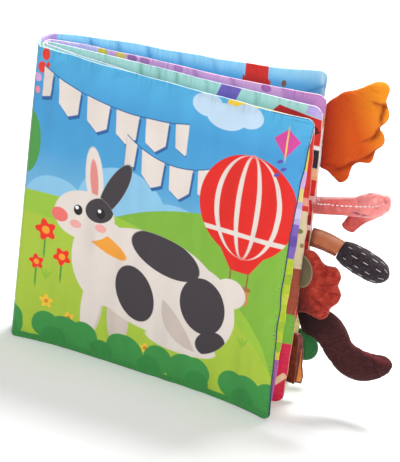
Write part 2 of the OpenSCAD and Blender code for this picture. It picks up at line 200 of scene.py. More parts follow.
def add_floor():
    deselect()
    bpy.ops.mesh.primitive_plane_add(size=12, location=(0, 0, -0.0004))
    floor = bpy.context.object
    floor.name = "floor"
    material, tree, shader = new_material("white_floor")
    set_values(shader, {"Base Color": colour("F4F4F4"), "Roughness": 0.9, "Emission Color": (1, 1, 1, 1)})
    path = add_node(tree, "ShaderNodeLightPath")
    lift = math_node(tree, "MULTIPLY", path.outputs["Is Camera Ray"], FLOOR_LIFT)
    tree.links.new(lift, shader.inputs["Emission Strength"])
    floor.data.materials.append(material)


def add_world():
    world = bpy.data.worlds.new("studio")
    world.use_nodes = True
    tree = world.node_tree
    background = tree.nodes["Background"]
    path = add_node(tree, "ShaderNodeLightPath")
    seen = math_node(tree, "MAXIMUM", path.outputs["Is Camera Ray"], path.outputs["Is Glossy Ray"])
    strength = math_node(tree, "MULTIPLY_ADD", seen, 1 - WORLD_LIGHT, WORLD_LIGHT)
    background.inputs["Color"].default_value = (1, 1, 1, 1)
    tree.links.new(strength, background.inputs["Strength"])
    bpy.context.scene.world = world


def add_lamp(name, place, aim, size, power):
    data = bpy.data.lights.new(name, "AREA")
    data.size = size
    data.energy = power
    lamp = bpy.data.objects.new(name, data)
    bpy.context.scene.collection.objects.link(lamp)
    lamp.location = place
    lamp.rotation_euler = (Vector(aim) - Vector(place)).to_track_quat("-Z", "Y").to_euler()


BOOK_MIDDLE = (0.1, 0, 0.11)
add_floor()
add_world()
add_lamp("overhead", (0.3, 0.55, 1.3), BOOK_MIDDLE, 0.5, 22)
add_lamp("front_right", (0.8, -1.8, 0.75), BOOK_MIDDLE, 0.8, 17)
bpy.context.scene.view_settings.view_transform = "Standard"

# %% [markdown]
# ## The shape of a padded panel
# Every cover and leaf is cut flat, sewn, filled and then bent where it turns out of the spine. So each is
# modelled in the same order. A point is first given in flat millimetres: how far it is from the crease, how
# high it is and how far it stands off the middle of the cloth. Only then is it bent, along a line seen from
# above whose heading changes smoothly from the crease to the fore-edge.

# %% How the panels are bent
BOOK_H = 220
SEAM_T = 1.6
CORNER_R = 6.0
COVER_T, LEAF_T, PUFF = 6, 4.6, 30
ROOT_BEND, EDGE_BEND = 0.35, 0.45
LINE_STEPS = 600


class Bend:
    """The middle line of a panel seen from above. Below zero it runs round the fold behind the crease."""

    def __init__(self, crease, fan, width, bulge):
        self.width = width
        reach = abs(crease[1])
        radius = (reach**2 + bulge**2) / (2 * bulge)
        half_turn = math.asin(reach / radius)
        self.fold = radius * half_turn
        turn = math.copysign(1, crease[1])
        self.at = np.linspace(-self.fold, width + 40, LINE_STEPS)
        share = np.clip(self.at / width, 0, 1)
        root = (fan[0] - fan[1]) * np.maximum(0, 1 - share / ROOT_BEND) ** 2
        edge = (fan[2] - fan[1]) * np.maximum(0, 1 - (1 - share) / EDGE_BEND) ** 2
        panel = np.radians(fan[1] + root + edge)
        wrap = turn * (math.pi / 2 - (self.at + self.fold) / radius)
        # Near the crease the cloth rounds the corner between the fold and the panel
        near = smoothstep(self.at, -1.2, 1.2)
        self.heading = wrap * (1 - near) + panel * near
        step = self.at[1] - self.at[0]
        x = np.cumsum(np.cos(self.heading)) * step
        y = np.cumsum(np.sin(self.heading)) * step
        zero = np.searchsorted(self.at, 0)
        self.x = x - x[zero] + crease[0]
        self.y = y - y[zero] + crease[1]

    def place(self, along, off, high):
        """Flat millimetres to metres in the book."""
        heading = np.interp(along, self.at, self.heading)
        x = np.interp(along, self.at, self.x) - off * np.sin(heading)
        y = np.interp(along, self.at, self.y) + off * np.cos(heading)
        return np.stack([x, y, high], -1) * MM


class Twist:
    """A panel whose foot and head follow two different lines."""

    def __init__(self, crease, foot_fan, head_fan, width, bulge):
        self.foot = Bend(crease, foot_fan, width, bulge)
        self.head = Bend(crease, head_fan, width, bulge)
        self.width, self.fold = width, self.foot.fold

    def place(self, along, off, high):
        share = (high / BOOK_H)[..., None]
        return self.foot.place(along, off, high) * (1 - share) + self.head.place(along, off, high) * share


SPINE_HALF, SPINE_BULGE = 13.0, 4.0
COVER_W, LEAF_W, BACK_W = 200, 199, 191
BENDS = {
    "front_cover": Twist((0, -SPINE_HALF), (4.4, -9.3, -27.6), (-11.5, -8.3, 1), COVER_W, SPINE_BULGE),
    "leaf_1": Twist((0, -6.6), (1, -7.5, -7), (-17.5, -5, -5), LEAF_W, 1.95),
    "leaf_2": Bend((1.8, -2.4), (2, -7, -2), LEAF_W, 2.13),
    "leaf_3": Bend((1.8, 2.4), (3, -5, -3), LEAF_W, 2.13),
    "leaf_4": Bend((0, 6.6), (15, -2.5, 14), LEAF_W, 1.95),
    "back_cover": Bend((0, SPINE_HALF), (25.5, 4.3, 32.4), BACK_W, SPINE_BULGE),
}
# How far each fore-edge stands beyond the panel's width, at the foot, the middle and the head
FORE_EDGES = {
    "front_cover": (1, -5, 0),
    "leaf_1": (-6, -3.5, -3.5),
    "leaf_2": (-2, -1, -6),
    "leaf_3": (-6, -1, -4),
    "leaf_4": (-3, -2.5, -5),
    "back_cover": (0, -2, -1),
}
HEAD_SINKS = {"front_cover": 0, "leaf_1": 3, "leaf_2": 7.5, "leaf_3": 0.5, "leaf_4": 0.5, "back_cover": 0}


def through(values, share):
    """Smooth value at a share of the height, from the values at the foot, the middle and the head."""
    foot, middle, head = values
    return foot * (1 - share) * (1 - 2 * share) + middle * 4 * share * (1 - share) + head * share * (2 * share - 1)


print("panels:", len(BENDS), "spine cloth to the middle of the back:", round(BENDS["front_cover"].fold, 1), "mm")

# %% [markdown]
# ## Puckers
# A sewn edge gathers the cloth. It leaves short valleys that start at the seam and fade into the padding, at
# uneven places. They are made by a sum of narrow dips, each with its own place, width, depth and slant, drawn
# from a seeded random generator so that every run gives the same book. Slow waves do the same for the way
# that the whole panel buckles.


# %% Puckers and waves
def valleys(along, depth, length, spacing, width, fade, seed):
    """0 on flat cloth, towards 1 in the valleys beside a seam. Depth is the distance from that seam."""
    chance = np.random.default_rng(seed)
    total = np.zeros_like(along)
    place = spacing * chance.uniform(0.3, 0.9)
    while place < length:
        slant = chance.normal(0, 0.25)
        wide = width * chance.uniform(0.6, 1.5)
        strong = chance.uniform(0.35, 1.0)
        reach = fade * chance.uniform(0.6, 1.6)
        total += strong * np.exp(-(((along - place - slant * depth) / wide) ** 2)) * np.exp(-depth / reach)
        place += spacing * chance.uniform(0.55, 1.5)
    return np.minimum(total, 1)


def waves(a, b, wavelength, seed, count=7):
    """Slow buckling, about -1 to 1, from a few crossing waves."""
    chance = np.random.default_rng(seed)
    total = np.zeros_like(a)
    for _ in range(count):
        way = chance.uniform(0, math.tau)
        size = math.tau / (wavelength * chance.uniform(0.6, 1.7))
        total += np.sin(size * (a * math.cos(way) + b * math.sin(way)) + chance.uniform(0, math.tau))
    return total / math.sqrt(count)


# %% [markdown]
# ## Building a panel
# A grid is extruded twice, which gives a closed slab with a row of points along the middle of its edge. Its
# columns and rows are then spread, closer together near the seams and round the crease. The corners are
# rounded, the filling swells the middle, and the puckers and waves go in before the bend.

# %% Panel builder
COLUMNS, FOLD_COLUMNS, ROWS = 112, 14, 112


def flat_slab(name, columns, rows):
    deselect()
    bpy.ops.mesh.primitive_grid_add(x_subdivisions=columns, y_subdivisions=rows, size=1)
    slab = bpy.context.object
    slab.name = name
    slab.data.name = name
    bpy.ops.object.mode_set(mode="EDIT")
    bpy.ops.mesh.select_all(action="SELECT")
    bpy.ops.mesh.extrude_region_move(TRANSFORM_OT_translate={"value": (0, 0, 0.5)})
    bpy.ops.mesh.extrude_region_move(TRANSFORM_OT_translate={"value": (0, 0, 0.5)})
    bpy.ops.mesh.select_all(action="SELECT")
    bpy.ops.mesh.normals_make_consistent(inside=False)
    bpy.ops.object.mode_set(mode="OBJECT")
    return slab


def hollow(t):
    """Full in the middle of an edge and nothing at its two corners."""
    return 1 - np.abs(2 * t - 1) ** 4


def eased(t, share):
    return t + share * ((1 - np.cos(np.pi * t)) / 2 - t)


def round_corners(back, down, radius):
    """Pulls the points near a corner in from a square to a quarter circle."""
    a = np.clip((radius - back) / radius, 0, 1)
    b = np.clip((radius - down) / radius, 0, 1)
    near = (a > 0) & (b > 0)
    new_a = a * np.sqrt(1 - b * b / 2)
    new_b = b * np.sqrt(1 - a * a / 2)
    return np.where(near, radius * (1 - new_a), back), np.where(near, radius * (1 - new_b), down)


def slab_places(points):
    """Which column, row and layer of the slab each point belongs to."""
    column = np.rint((points[:, 0] + 0.5) * COLUMNS).astype(int)
    row = np.rint((points[:, 1] + 0.5) * ROWS).astype(int)
    return column, row, np.rint(points[:, 2] * 2).astype(int)


def flat_panel(name, column, row, height, seed):
    """How far from the crease and how high each point lies, before filling."""
    v = eased(row / ROWS, 0.6)
    panel_share = eased(np.clip((column - FOLD_COLUMNS) / (COLUMNS - FOLD_COLUMNS), 0, 1), 0.6)
    fold_share = np.clip(1 - column / FOLD_COLUMNS, 0, 1)
    high = height * v
    bend = BENDS[name]
    fore_edge = bend.width + through(FORE_EDGES[name], v) + 0.35 * waves(high, high, 26, seed + 5) * hollow(v)
    along = np.where(column < FOLD_COLUMNS, -bend.fold * fold_share, fore_edge * panel_share)
    for top in (False, True):
        down = height - high if top else high
        back, down = round_corners(fore_edge - along, down, CORNER_R)
        along = fore_edge - back
        high = height - down if top else down
    return along, high, fore_edge


# Where the head seam pulls a deeper dent into the inner face of a panel, in millimetres from the crease
DENTS = {"back_cover": (27, 46, 66, 89, 121, 178), "leaf_4": (104, 131, 166), "leaf_3": (65, 78, 91, 113, 148)}


def dents(name, along, from_head):
    deep = np.zeros_like(along)
    for number, place in enumerate(DENTS.get(name, ())):
        width = (2.0, 3.4, 2.5, 4.2)[number % 4]
        deep = np.maximum(deep, np.exp(-(((along - place - 0.2 * from_head) / width) ** 2)))
    return deep * np.exp(-((from_head / 9) ** 2))


def filling(along, high, fore_edge, height, side, plump, puff, seed):
    """How far the cloth stands off the middle: thin at the seams, full inside, flat behind the crease."""
    depth = np.minimum(np.minimum(high, height - high), fore_edge - along)
    from_crease = np.maximum(along - 1.0, 0)
    rise = 1 - (1 - np.clip(np.minimum(depth, from_crease) / puff, 0, 1)) ** 2
    thick = SEAM_T + (plump - SEAM_T) * rise
    root = 0.6 * valleys(high, from_crease, height, 24, 4, 14, seed + 3) * smoothstep(along, -1, 3)
    thick = thick - 0.5 * root * np.minimum(rise * 2.2, 1) * (plump - SEAM_T)
    sway = 0.55 * waves(along, high * 0.35, 48, seed + 11) * np.exp(-(height - high) / 30)
    return depth, side * thick / 2 + sway * smoothstep(along, 4, 26)


# %% [markdown]
# ## Sewing and filling a slab
# The puckers along the seams come from a cloth simulation. A flat slab is held along its sewn edge, its cloth
# is let grow by a few hundredths, as loose cloth over a tight seam does, and pressure fills it. The cloth has
# to buckle, most of all beside the seams. One slab is simulated, and the panels take its movement turned
# over or upside down, so that no two look the same.

# %% Sewing and filling a slab
SIM_SCALE = 10
SLAB_SEED, SLAB_FRAMES = 11, 18
SLAB_HOLD, SLAB_GROWTH, SLAB_PRESSURE, SLAB_CAP = 0.25, 0.05, 1.5, 2.6
SOFTENING = 3


def run_cloth(piece, frames, **values):
    """Runs a cloth simulation with pressure and without gravity, and keeps its last frame as the mesh."""
    choose(piece)
    bpy.ops.object.modifier_add(type="CLOTH")
    cloth = piece.modifiers[-1]
    settings = cloth.settings
    settings.tension_stiffness = settings.compression_stiffness = 40
    settings.vertex_group_mass = "sewn"
    settings.use_pressure = True
    settings.effector_weights.gravity = 0
    for key, value in values.items():
        setattr(settings, key, value)
    cloth.point_cache.frame_start, cloth.point_cache.frame_end = 1, frames
    for step in range(1, frames + 1):
        bpy.context.scene.frame_set(step)
    bpy.ops.object.modifier_apply(modifier=cloth.name)
    bpy.context.scene.frame_set(1)


def simulate_slab():
    slab = flat_slab("filled_slab", COLUMNS, ROWS)
    column, row, layer = slab_places(points_of(slab))
    along, high, fore_edge = flat_panel("front_cover", column, row, BOOK_H, SLAB_SEED)
    off = filling(along, high, fore_edge, BOOK_H, layer - 1.0, COVER_T, PUFF, SLAB_SEED)[1]
    start = np.stack([along, off, high], -1)
    move_points(slab, start * MM * SIM_SCALE)
    sewn = np.maximum(np.where((layer == 1) | (column <= FOLD_COLUMNS), 1.0, 0.0), SLAB_HOLD)
    group = slab.vertex_groups.new(name="sewn")
    for weight in np.unique(sewn):
        group.add(np.nonzero(sewn == weight)[0].tolist(), float(weight), "REPLACE")
    run_cloth(
        slab, SLAB_FRAMES, quality=5, shear_stiffness=10, bending_stiffness=0.6,
        shrink_min=-SLAB_GROWTH, uniform_pressure_force=SLAB_PRESSURE,
    )
    moved = points_of(slab) / MM / SIM_SCALE - start
    far = np.linalg.norm(moved, axis=1, keepdims=True)
    moved *= np.minimum(1, SLAB_CAP / np.maximum(far, 1e-9))
    bpy.data.objects.remove(slab)
    print("slab filled: cloth moved", round(float(far.mean()), 2), "mm on average")
    return moved, (column, row, layer)


movement, (slab_column, slab_row, slab_layer) = simulate_slab()
slab_index = np.full((COLUMNS + 1, ROWS + 1, 3), -1)
slab_index[slab_column, slab_row, slab_layer] = np.arange(len(slab_column))


def soften(values, passes):
    """Averages each point with its neighbours, so that only folds wider than a few faces are left."""
    for layer in (0, 2):
        grid = values[slab_index[:, :, layer]]
        for _ in range(passes):
            grid[1:-1] = grid[1:-1] / 2 + (grid[:-2] + grid[2:]) / 4
            grid[:, 1:-1] = grid[:, 1:-1] / 2 + (grid[:, :-2] + grid[:, 2:]) / 4
        values[slab_index[:, :, layer]] = grid


soften(movement, SOFTENING)
# A print hardly shifts in its own plane, so nearly all that is kept is the movement across the cloth
IN_PLANE = 0.15
movement *= np.array([IN_PLANE, 1, IN_PLANE])


def movement_for(upside_down, turned_over):
    """The slab's movement, mirrored so that another panel looks new."""
    row = ROWS - slab_row if upside_down else slab_row
    layer = 2 - slab_layer if turned_over else slab_layer
    moved = movement[slab_index[slab_column, row, layer]]
    return moved * np.array([1, -1 if turned_over else 1, -1 if upside_down else 1])


def keep_apart(off, least=0.9):
    """Near the seams the two cloths could pass through each other, so a least thickness is kept."""
    front, rear = slab_index[:, :, 0], slab_index[:, :, 2]
    middle = (off[front] + off[rear]) / 2
    half = np.maximum((off[rear] - off[front]) / 2, least / 2)
    off[front], off[rear] = middle - half, middle + half
    edge = slab_index[:, :, 1] >= 0
    off[slab_index[:, :, 1][edge]] = middle[edge]


# %% [markdown]
# ## Making the panels
# Each panel is the flat slab, filled, puckered by the simulation and bent along its line.

# %% Making the panels
def padded_panel(name, plump, height, seed, upside_down=False, turned_over=False, buckle=1.0):
    """A cover or leaf, with its half of the fold behind the crease."""
    bend = BENDS[name]
    slab = flat_slab(name, COLUMNS, ROWS)
    column, row, layer = slab_places(points_of(slab))
    side, edge = layer - 1.0, layer == 1
    along, high, fore_edge = flat_panel(name, column, row, height, seed)
    depth, off = filling(along, high, fore_edge, height, side, plump, PUFF, seed)
    off = off + np.where(side < 0, 1.5 * dents(name, along, height - high), 0) * smoothstep(depth, -0.2, 2)
    flat = np.stack([along, high, np.ones_like(high)], -1)
    calm = 0.3 + 0.7 * np.exp(-np.maximum(depth, 0) / 22)
    moved = movement_for(upside_down, turned_over) * buckle * calm[:, None]

    # The stitched edge is drawn to a rounded lip
    lip = np.where(edge, 0.45, 0)
    at_fore = edge & (column == COLUMNS)
    at_head = edge & (row == ROWS) & ~at_fore
    at_foot = edge & (row == 0) & ~at_fore
    new_along = along + np.where(at_fore, lip, 0) + moved[:, 0]
    new_high = high + np.where(at_head, lip, 0) * 0.6
    new_high = new_high - HEAD_SINKS[name] * (1 - (1 - np.clip(along / bend.width, 0, 1)) ** 4) * row / ROWS
    new_high = new_high + moved[:, 2]
    new_high = np.where(at_foot, np.maximum(new_high, 0), new_high)
    off = off + moved[:, 1]
    keep_apart(off)
    move_points(slab, bend.place(new_along, off, new_high))
    remember(slab, "flat", flat)
    remember(slab, "depth", np.where(edge, -0.5, depth))
    remember(slab, "face", side)
    slab.data.polygons.foreach_set("use_smooth", [True] * len(slab.data.polygons))
    return slab


LEAF_H, LEAF_BUCKLE = BOOK_H - 2, 0.7
LEAVES = ("leaf_1", "leaf_2", "leaf_3", "leaf_4")
UPSIDE_DOWN, TURNED_OVER = ("leaf_1", "leaf_3", "back_cover"), ("leaf_2", "leaf_3")
panels = {}
for number, name in enumerate(BENDS):
    size = (LEAF_T, LEAF_H) if name in LEAVES else (COVER_T, BOOK_H)
    buckle = LEAF_BUCKLE if name in LEAVES else 1.0
    panels[name] = padded_panel(name, *size, 11 + 20 * number, name in UPSIDE_DOWN, name in TURNED_OVER, buckle)
    print(name, len(panels[name].data.polygons), "faces")

# %% Which body the leaves ride on, and the covers baked in place
MAIN, FRONT, BACK = "spine_and_leaves", "front_cover", "back_cover"
for name in LEAVES:
    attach(panels[name], MAIN)
    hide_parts("pages")
for name, side in ((FRONT, -1), (BACK, 1)):
    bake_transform(panels[name])
    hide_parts(name, "spine")

# %% [markdown]
# ## Painting flat shapes
# The cloth is printed before it is sewn, so the print is painted in flat millimetres, which the panels carry
# with them as an attribute. The painter below lays one flat shape over another, like cut paper: each shape is
# a mask that is 1 inside and 0 outside, with a soft edge of half a millimetre, as ink has on cloth. A row of
# like shapes costs no more than one, because the place along the row is folded back on itself.

# %% The painter
INK_EDGE = 0.5


class Print:
    """Lays flat shapes over a ground colour, in millimetres from the crease and from the foot."""

    def __init__(self, name, ground):
        self.material, self.tree, self.shader = new_material(name)
        self.flat = attribute(self.tree, "flat", "Vector")
        self.along, self.high = self.line(1, 0, 0), self.line(0, 1, 0)
        self.ink = add_node(self.tree, "ShaderNodeRGB").outputs[0]
        self.ink.default_value = colour(ground)

    def math(self, operation, *values, clamp=False):
        return math_node(self.tree, operation, *values, clamp=clamp)

    def vector(self, operation, *values):
        return vector_node(self.tree, operation, *values)

    def line(self, across, up, constant, space=None):
        """across * x + up * y + constant, which is one dot product because the third number is always 1."""
        return self.vector("DOT_PRODUCT", space or self.flat, (across, up, constant))

    def fade(self, stops):
        """A ground that changes with height: pairs of height and colour, from the foot up."""
        ramp = add_node(self.tree, "ShaderNodeValToRGB", {0: self.line(0, 1 / BOOK_H, 0)})
        while len(ramp.color_ramp.elements) < len(stops):
            ramp.color_ramp.elements.new(0.5)
        for element, (high, code) in zip(ramp.color_ramp.elements, stops):
            element.position = high / BOOK_H
            element.color = colour(code)
        self.ink = ramp.outputs[0]

    def edge(self, distance, factor=1, addend=0):
        """Mask from a signed distance, factor * distance + addend, which is below zero inside."""
        factor, addend = -factor / INK_EDGE, 0.5 - addend / INK_EDGE
        return self.math("MULTIPLY_ADD", distance, factor, addend, clamp=True)

    def local(self, place, turn=0, scale=(1, 1), space=None):
        """Place seen from a shape's own middle and axes, in units of its own size."""
        (px, py), (sx, sy) = place, scale
        if turn == 0:
            shift = (-px / sx, -py / sy, 0)
            return self.vector("MULTIPLY_ADD", space or self.flat, (1 / sx, 1 / sy, 0), shift)
        c, s = math.cos(math.radians(turn)), math.sin(math.radians(turn))
        x = self.line(c / sx, s / sx, -(px * c + py * s) / sx, space)
        y = self.line(-s / sy, c / sy, (px * s - py * c) / sy, space)
        return add_node(self.tree, "ShaderNodeCombineXYZ", {0: x, 1: y}).outputs[0]

    def oval(self, place, size, turn=0, space=None):
        far = self.vector("LENGTH", self.local(place, turn, size, space))
        return self.edge(far, min(size), -min(size))

    def box(self, place, size, turn=0, corner=0, space=None):
        away = self.vector("ABSOLUTE", self.local(place, turn, (1, 1), space))
        if corner:
            inner = (size[0] / 2 - corner, size[1] / 2 - corner, 0)
            away = self.vector("MAXIMUM", self.vector("SUBTRACT", away, inner), (0, 0, 0))
            return self.edge(self.vector("LENGTH", away), 1, -corner)
        sides = [self.line(2 / size[0], 0, 0, away), self.line(0, 2 / size[1], 0, away)]
        return self.edge(self.math("MAXIMUM", *sides), min(size) / 2, -min(size) / 2)

    def corners(self, points, space=None):
        """A convex shape, its corners given anticlockwise."""
        distance = None
        for (ax, ay), (bx, by) in zip(points, points[1:] + points[:1]):
            size = math.hypot(bx - ax, by - ay)
            nx, ny = (by - ay) / size, (ax - bx) / size
            side = self.line(nx, ny, -nx * ax - ny * ay, space)
            distance = side if distance is None else self.math("MAXIMUM", distance, side)
        return self.edge(distance)

    def petals(self, place, size, count, turn=0, depth=0.3, space=None):
        local = self.local(place, turn, (size, size), space)
        x, y = self.line(1, 0, 0, local), self.line(0, 1, 0, local)
        angle = self.math("MULTIPLY", self.math("ARCTAN2", y, x), count)
        wave = self.math("COSINE", angle)
        far = self.vector("LENGTH", local)
        far = self.math("MULTIPLY_ADD", wave, -depth, far)
        return self.edge(far, size, -size * (1 - depth))

    def row(self, start, end, step, sag=0):
        """Space for a row of like shapes: x is 0 at the middle of each, and y is 0 on a sagging line."""
        middle, half = (start[0] + end[0]) / 2, (end[0] - start[0]) / 2
        slope = (end[1] - start[1]) / 2 / half
        t = self.line(1 / half, 0, -middle / half)
        y = self.line(-slope, 1, sag - (start[1] + end[1]) / 2 + slope * middle)
        if sag:
            y = self.math("MULTIPLY_ADD", self.math("MULTIPLY", t, t), -sag, y)
        x = self.math("WRAP", self.line(1, 0, -start[0] - step / 2), step / 2, -step / 2)
        return add_node(self.tree, "ShaderNodeCombineXYZ", {0: x, 1: y, 2: 1.0}).outputs[0]

    def crease(self, start, end, width, strength=0.6):
        """A soft line between two places: painted shade in a fold, and with a pale colour a painted highlight along
        a ridge.
        """
        (ax, ay), (bx, by) = start, end
        half = math.dist(start, end) / 2
        turn = math.degrees(math.atan2(by - ay, bx - ax))
        away = self.vector("ABSOLUTE", self.local(((ax + bx) / 2, (ay + by) / 2), turn))
        away = self.vector("MAXIMUM", self.vector("SUBTRACT", away, (half, 0, 0)), (0, 0, 0))
        far = self.line(1, 0, 0, away), self.line(0, 1, 0, away)
        far = self.math("MULTIPLY_ADD", far[0], 0.35, far[1])
        near = self.math("MULTIPLY_ADD", far, -1 / width, 1, clamp=True)
        return self.math("MULTIPLY", self.math("MULTIPLY", near, near), strength)

    def meet(self, operation, masks):
        result = masks[0]
        for mask in masks[1:]:
            result = self.math(operation, result, mask)
        return result

    def either(self, *masks):
        return self.meet("MAXIMUM", masks)

    def paint(self, code, *masks):
        """Lays one colour over what is there, wherever all the masks meet."""
        node = add_node(self.tree, "ShaderNodeMix", {0: self.meet("MULTIPLY", masks)}, data_type="RGBA")
        self.tree.links.new(self.ink, node.inputs[6])
        node.inputs[7].default_value = colour(code)
        self.ink = node.outputs[2]

    def ovals(self, code, *shapes):
        """Ovals of one colour, each given as for oval, laid one after another."""
        for shape in shapes:
            self.paint(code, self.oval(*shape))

    def boxes(self, *shapes):
        """Boxes, each given as its colour and then as for box, laid one after another."""
        for code, *shape in shapes:
            self.paint(code, self.box(*shape))

    def tone(self, shade):
        """Makes the ink darker or lighter by a factor, and hands it to the shader."""
        toned = self.vector("SCALE", self.ink)
        self.tree.links.new(shade, toned.node.inputs["Scale"])
        self.tree.links.new(toned, self.shader.inputs["Base Color"])


# %% [markdown]
# ## Printed cloth
# Under the print every panel is the same cloth: a tight plain weave with a slight gloss, a little uneven where
# the ink took. The weave is too fine to model, so it is a bump that follows the flat cloth. The print runs to
# the seams. Only a thin line shows at the head seam of some panels, partly the seam's own pale edge and partly
# a painted highlight where the rounded seam catches the light, and another at the fore-edge. They read how far
# a point lies from its seam.

# %% Printed cloth
def weave_height(cloth, pitch):
    """Crossing threads, from 0 to 1."""
    turns = cloth.vector("SCALE", cloth.flat)
    turns.node.inputs["Scale"].default_value = math.tau / pitch
    sines = cloth.vector("SINE", turns)
    warp, weft = (cloth.vector("DOT_PRODUCT", sines, way) for way in ((1, 0, 0), (0, 1, 0)))
    return cloth.math("MULTIPLY_ADD", cloth.math("MULTIPLY", warp, weft), 0.5, 0.5)


def finish_cloth(cloth, pitch=0.9, depth=0.12, rough=0.62, mottle=0.07, tone=0.05, gloss=0.3, sheen=0.15):
    """Threads, uneven ink and a soft sheen over a painted colour."""
    broad, fine = noise(cloth.tree, cloth.flat, 0.06, 3.0), noise(cloth.tree, cloth.flat, 1.3)
    threads = weave_height(cloth, pitch)
    shade = cloth.math("MULTIPLY_ADD", broad, mottle, 1 - mottle / 2)
    shade = cloth.math("MULTIPLY", shade, cloth.math("MULTIPLY_ADD", threads, tone, 1 - tone / 2))
    cloth.tone(cloth.math("MULTIPLY", shade, cloth.math("MULTIPLY_ADD", fine, 0.06, 0.97)))
    height = cloth.math("ADD", threads, cloth.math("MULTIPLY", fine, 0.8))
    cloth.tree.links.new(bump(cloth.tree, height, depth, 0.0004), cloth.shader.inputs["Normal"])
    set_values(cloth.shader, {
        "Roughness": rough, "Specular IOR Level": gloss, "Sheen Weight": sheen, "Sheen Roughness": 0.4,
    })


def gather(cloth, depth):
    """Small puckers that run in from the seams, and soft creases over the whole cloth, in millimetres."""
    fade = cloth.math("MULTIPLY_ADD", depth, -0.1, 1.1, clamp=True)
    at_side = cloth.math("MULTIPLY_ADD", cloth.along, 0.12, -21.4, clamp=True)
    side, head, soft = (
        noise(cloth.tree, cloth.vector("MULTIPLY", cloth.flat, scale), 1.0, 1.0)
        for scale in ((0.05, 0.4, 0), (0.4, 0.05, 0), (0.05, 0.016, 0))
    )
    across = cloth.math("MULTIPLY", cloth.math("MULTIPLY", side, at_side), 2.0)
    upright = cloth.math("MULTIPLY", head, cloth.math("MULTIPLY_ADD", at_side, -2.0, 2.0))
    seams = cloth.math("MULTIPLY", cloth.math("ADD", across, upright), cloth.math("MULTIPLY", fade, fade))
    height = cloth.math("MULTIPLY_ADD", soft, 5.0, seams)
    threads = cloth.shader.inputs["Normal"].links[0].from_socket
    cloth.tree.links.new(bump(cloth.tree, height, 1.0, 0.001, Normal=threads), cloth.shader.inputs["Normal"])


def printed(name, ground, design, head=None, fore=None, corner=209, wide=0.1):
    """A printed cloth. Head and fore are the colours of its seam lines, the head's line partly a painted highlight
    on the rounded seam, and corner is where the head's starts.
    """
    cloth = Print(name, ground)
    design(cloth)
    depth = attribute(cloth.tree, "depth")
    at_head, at_fore = cloth.edge(cloth.high, -1, corner), cloth.edge(cloth.along, -1, 170)
    if fore:
        cloth.paint(fore, cloth.edge(depth, 1, wide), at_fore)
    # The head line is partly the seam's pale edge and partly a painted highlight where the rounded seam catches the
    # light.
    if head:
        cloth.paint(head, cloth.edge(depth, 1, 0.2), at_head)
    finish_cloth(cloth)
    gather(cloth, depth)
    return cloth.material


def dress(panel, front, rear):
    """One material for each face of a panel, divided along the middle of its edge."""
    panel.data.materials.append(front)
    panel.data.materials.append(rear)
    faces = np.zeros(len(panel.data.vertices), np.float32)
    panel.data.attributes["face"].data.foreach_get("value", faces)
    for polygon in panel.data.polygons:
        polygon.material_index = int(sum(faces[v] for v in polygon.vertices) > 0)


# %% [markdown]
# ## The front cover's print
# Sky over a meadow, with a hedge along the foot. A cream rabbit with charcoal patches sits in the middle, a red
# and cream balloon floats at the right, and cream flags hang on two strings above. Small flowers and a kite
# give the red, yellow and pink accents.

# %% The front cover's print
CREAM, CHARCOAL, RED = "E5DAD2", "3F393E", "E0231B"


def sky(cloth):
    cloth.fade([(100, "84BCDC"), (150, "4A9FD3"), (190, "449AD2"), (219, "54B3E2")])
    cloth.ovals("8CC5E6", ((72, 118), (34, 32)), ((112, 112), (30, 22)), ((22, 108), (24, 22)))
    cloth.paint("F6D24A", cloth.oval((150, 217), (11, 11)))
    cloth.ovals("C3DBF0", ((126, 213), (11, 8)), ((140, 208), (14, 9)), ((155, 212), (11, 8)))


def meadow(cloth):
    cloth.paint("80B43C", cloth.oval((158, 20), (150, 116)))
    cloth.paint("9BC43E", cloth.oval((30, 10), (170, 106)))
    cloth.paint("ABC740", cloth.oval((20, -6), (190, 104)))
    tufts = cloth.row((0, 52), (190, 46), 38)
    for turn in (-28, 0, 28):
        cloth.paint("8FBF3C", cloth.oval((1 + turn / 14, 3), (0.9, 4.2), -turn, tufts))


def hedge(cloth, base=5):
    for step, radius, high, code in ((47, 15, 6, "3E9448"), (29, 11, 10, "3E9448"), (37, 9, 2, "358A42")):
        scallop = cloth.row((step * 0.3, base + high), (190, base + high), step)
        cloth.paint(code, cloth.oval((0, 0), (radius, radius), 0, scallop))
    cloth.paint("3A8F45", cloth.edge(cloth.high, 1, -base))


def flags(cloth, start, end, step, sag, ends):
    """A string of cream flags, each with a darker offset shadow."""
    row = cloth.row(start, end, step, sag)
    between = cloth.box(((ends[0] + ends[1]) / 2, start[1]), (ends[1] - ends[0], 90))
    shape = [(-8.6, 0.4), (-7.4, -17), (0, -22.5), (7.4, -17), (8.6, 0.4)]
    shadow = [(x + 1.5, y - 1.7) for x, y in shape]
    cloth.paint("2B5F9C", cloth.corners(shadow, row), between)
    cloth.paint("2B5F9C", cloth.box((0, 0.6), (step + 2, 1.3), 0, 0, row), between)
    cloth.paint(CREAM, cloth.corners(shape, row), between)


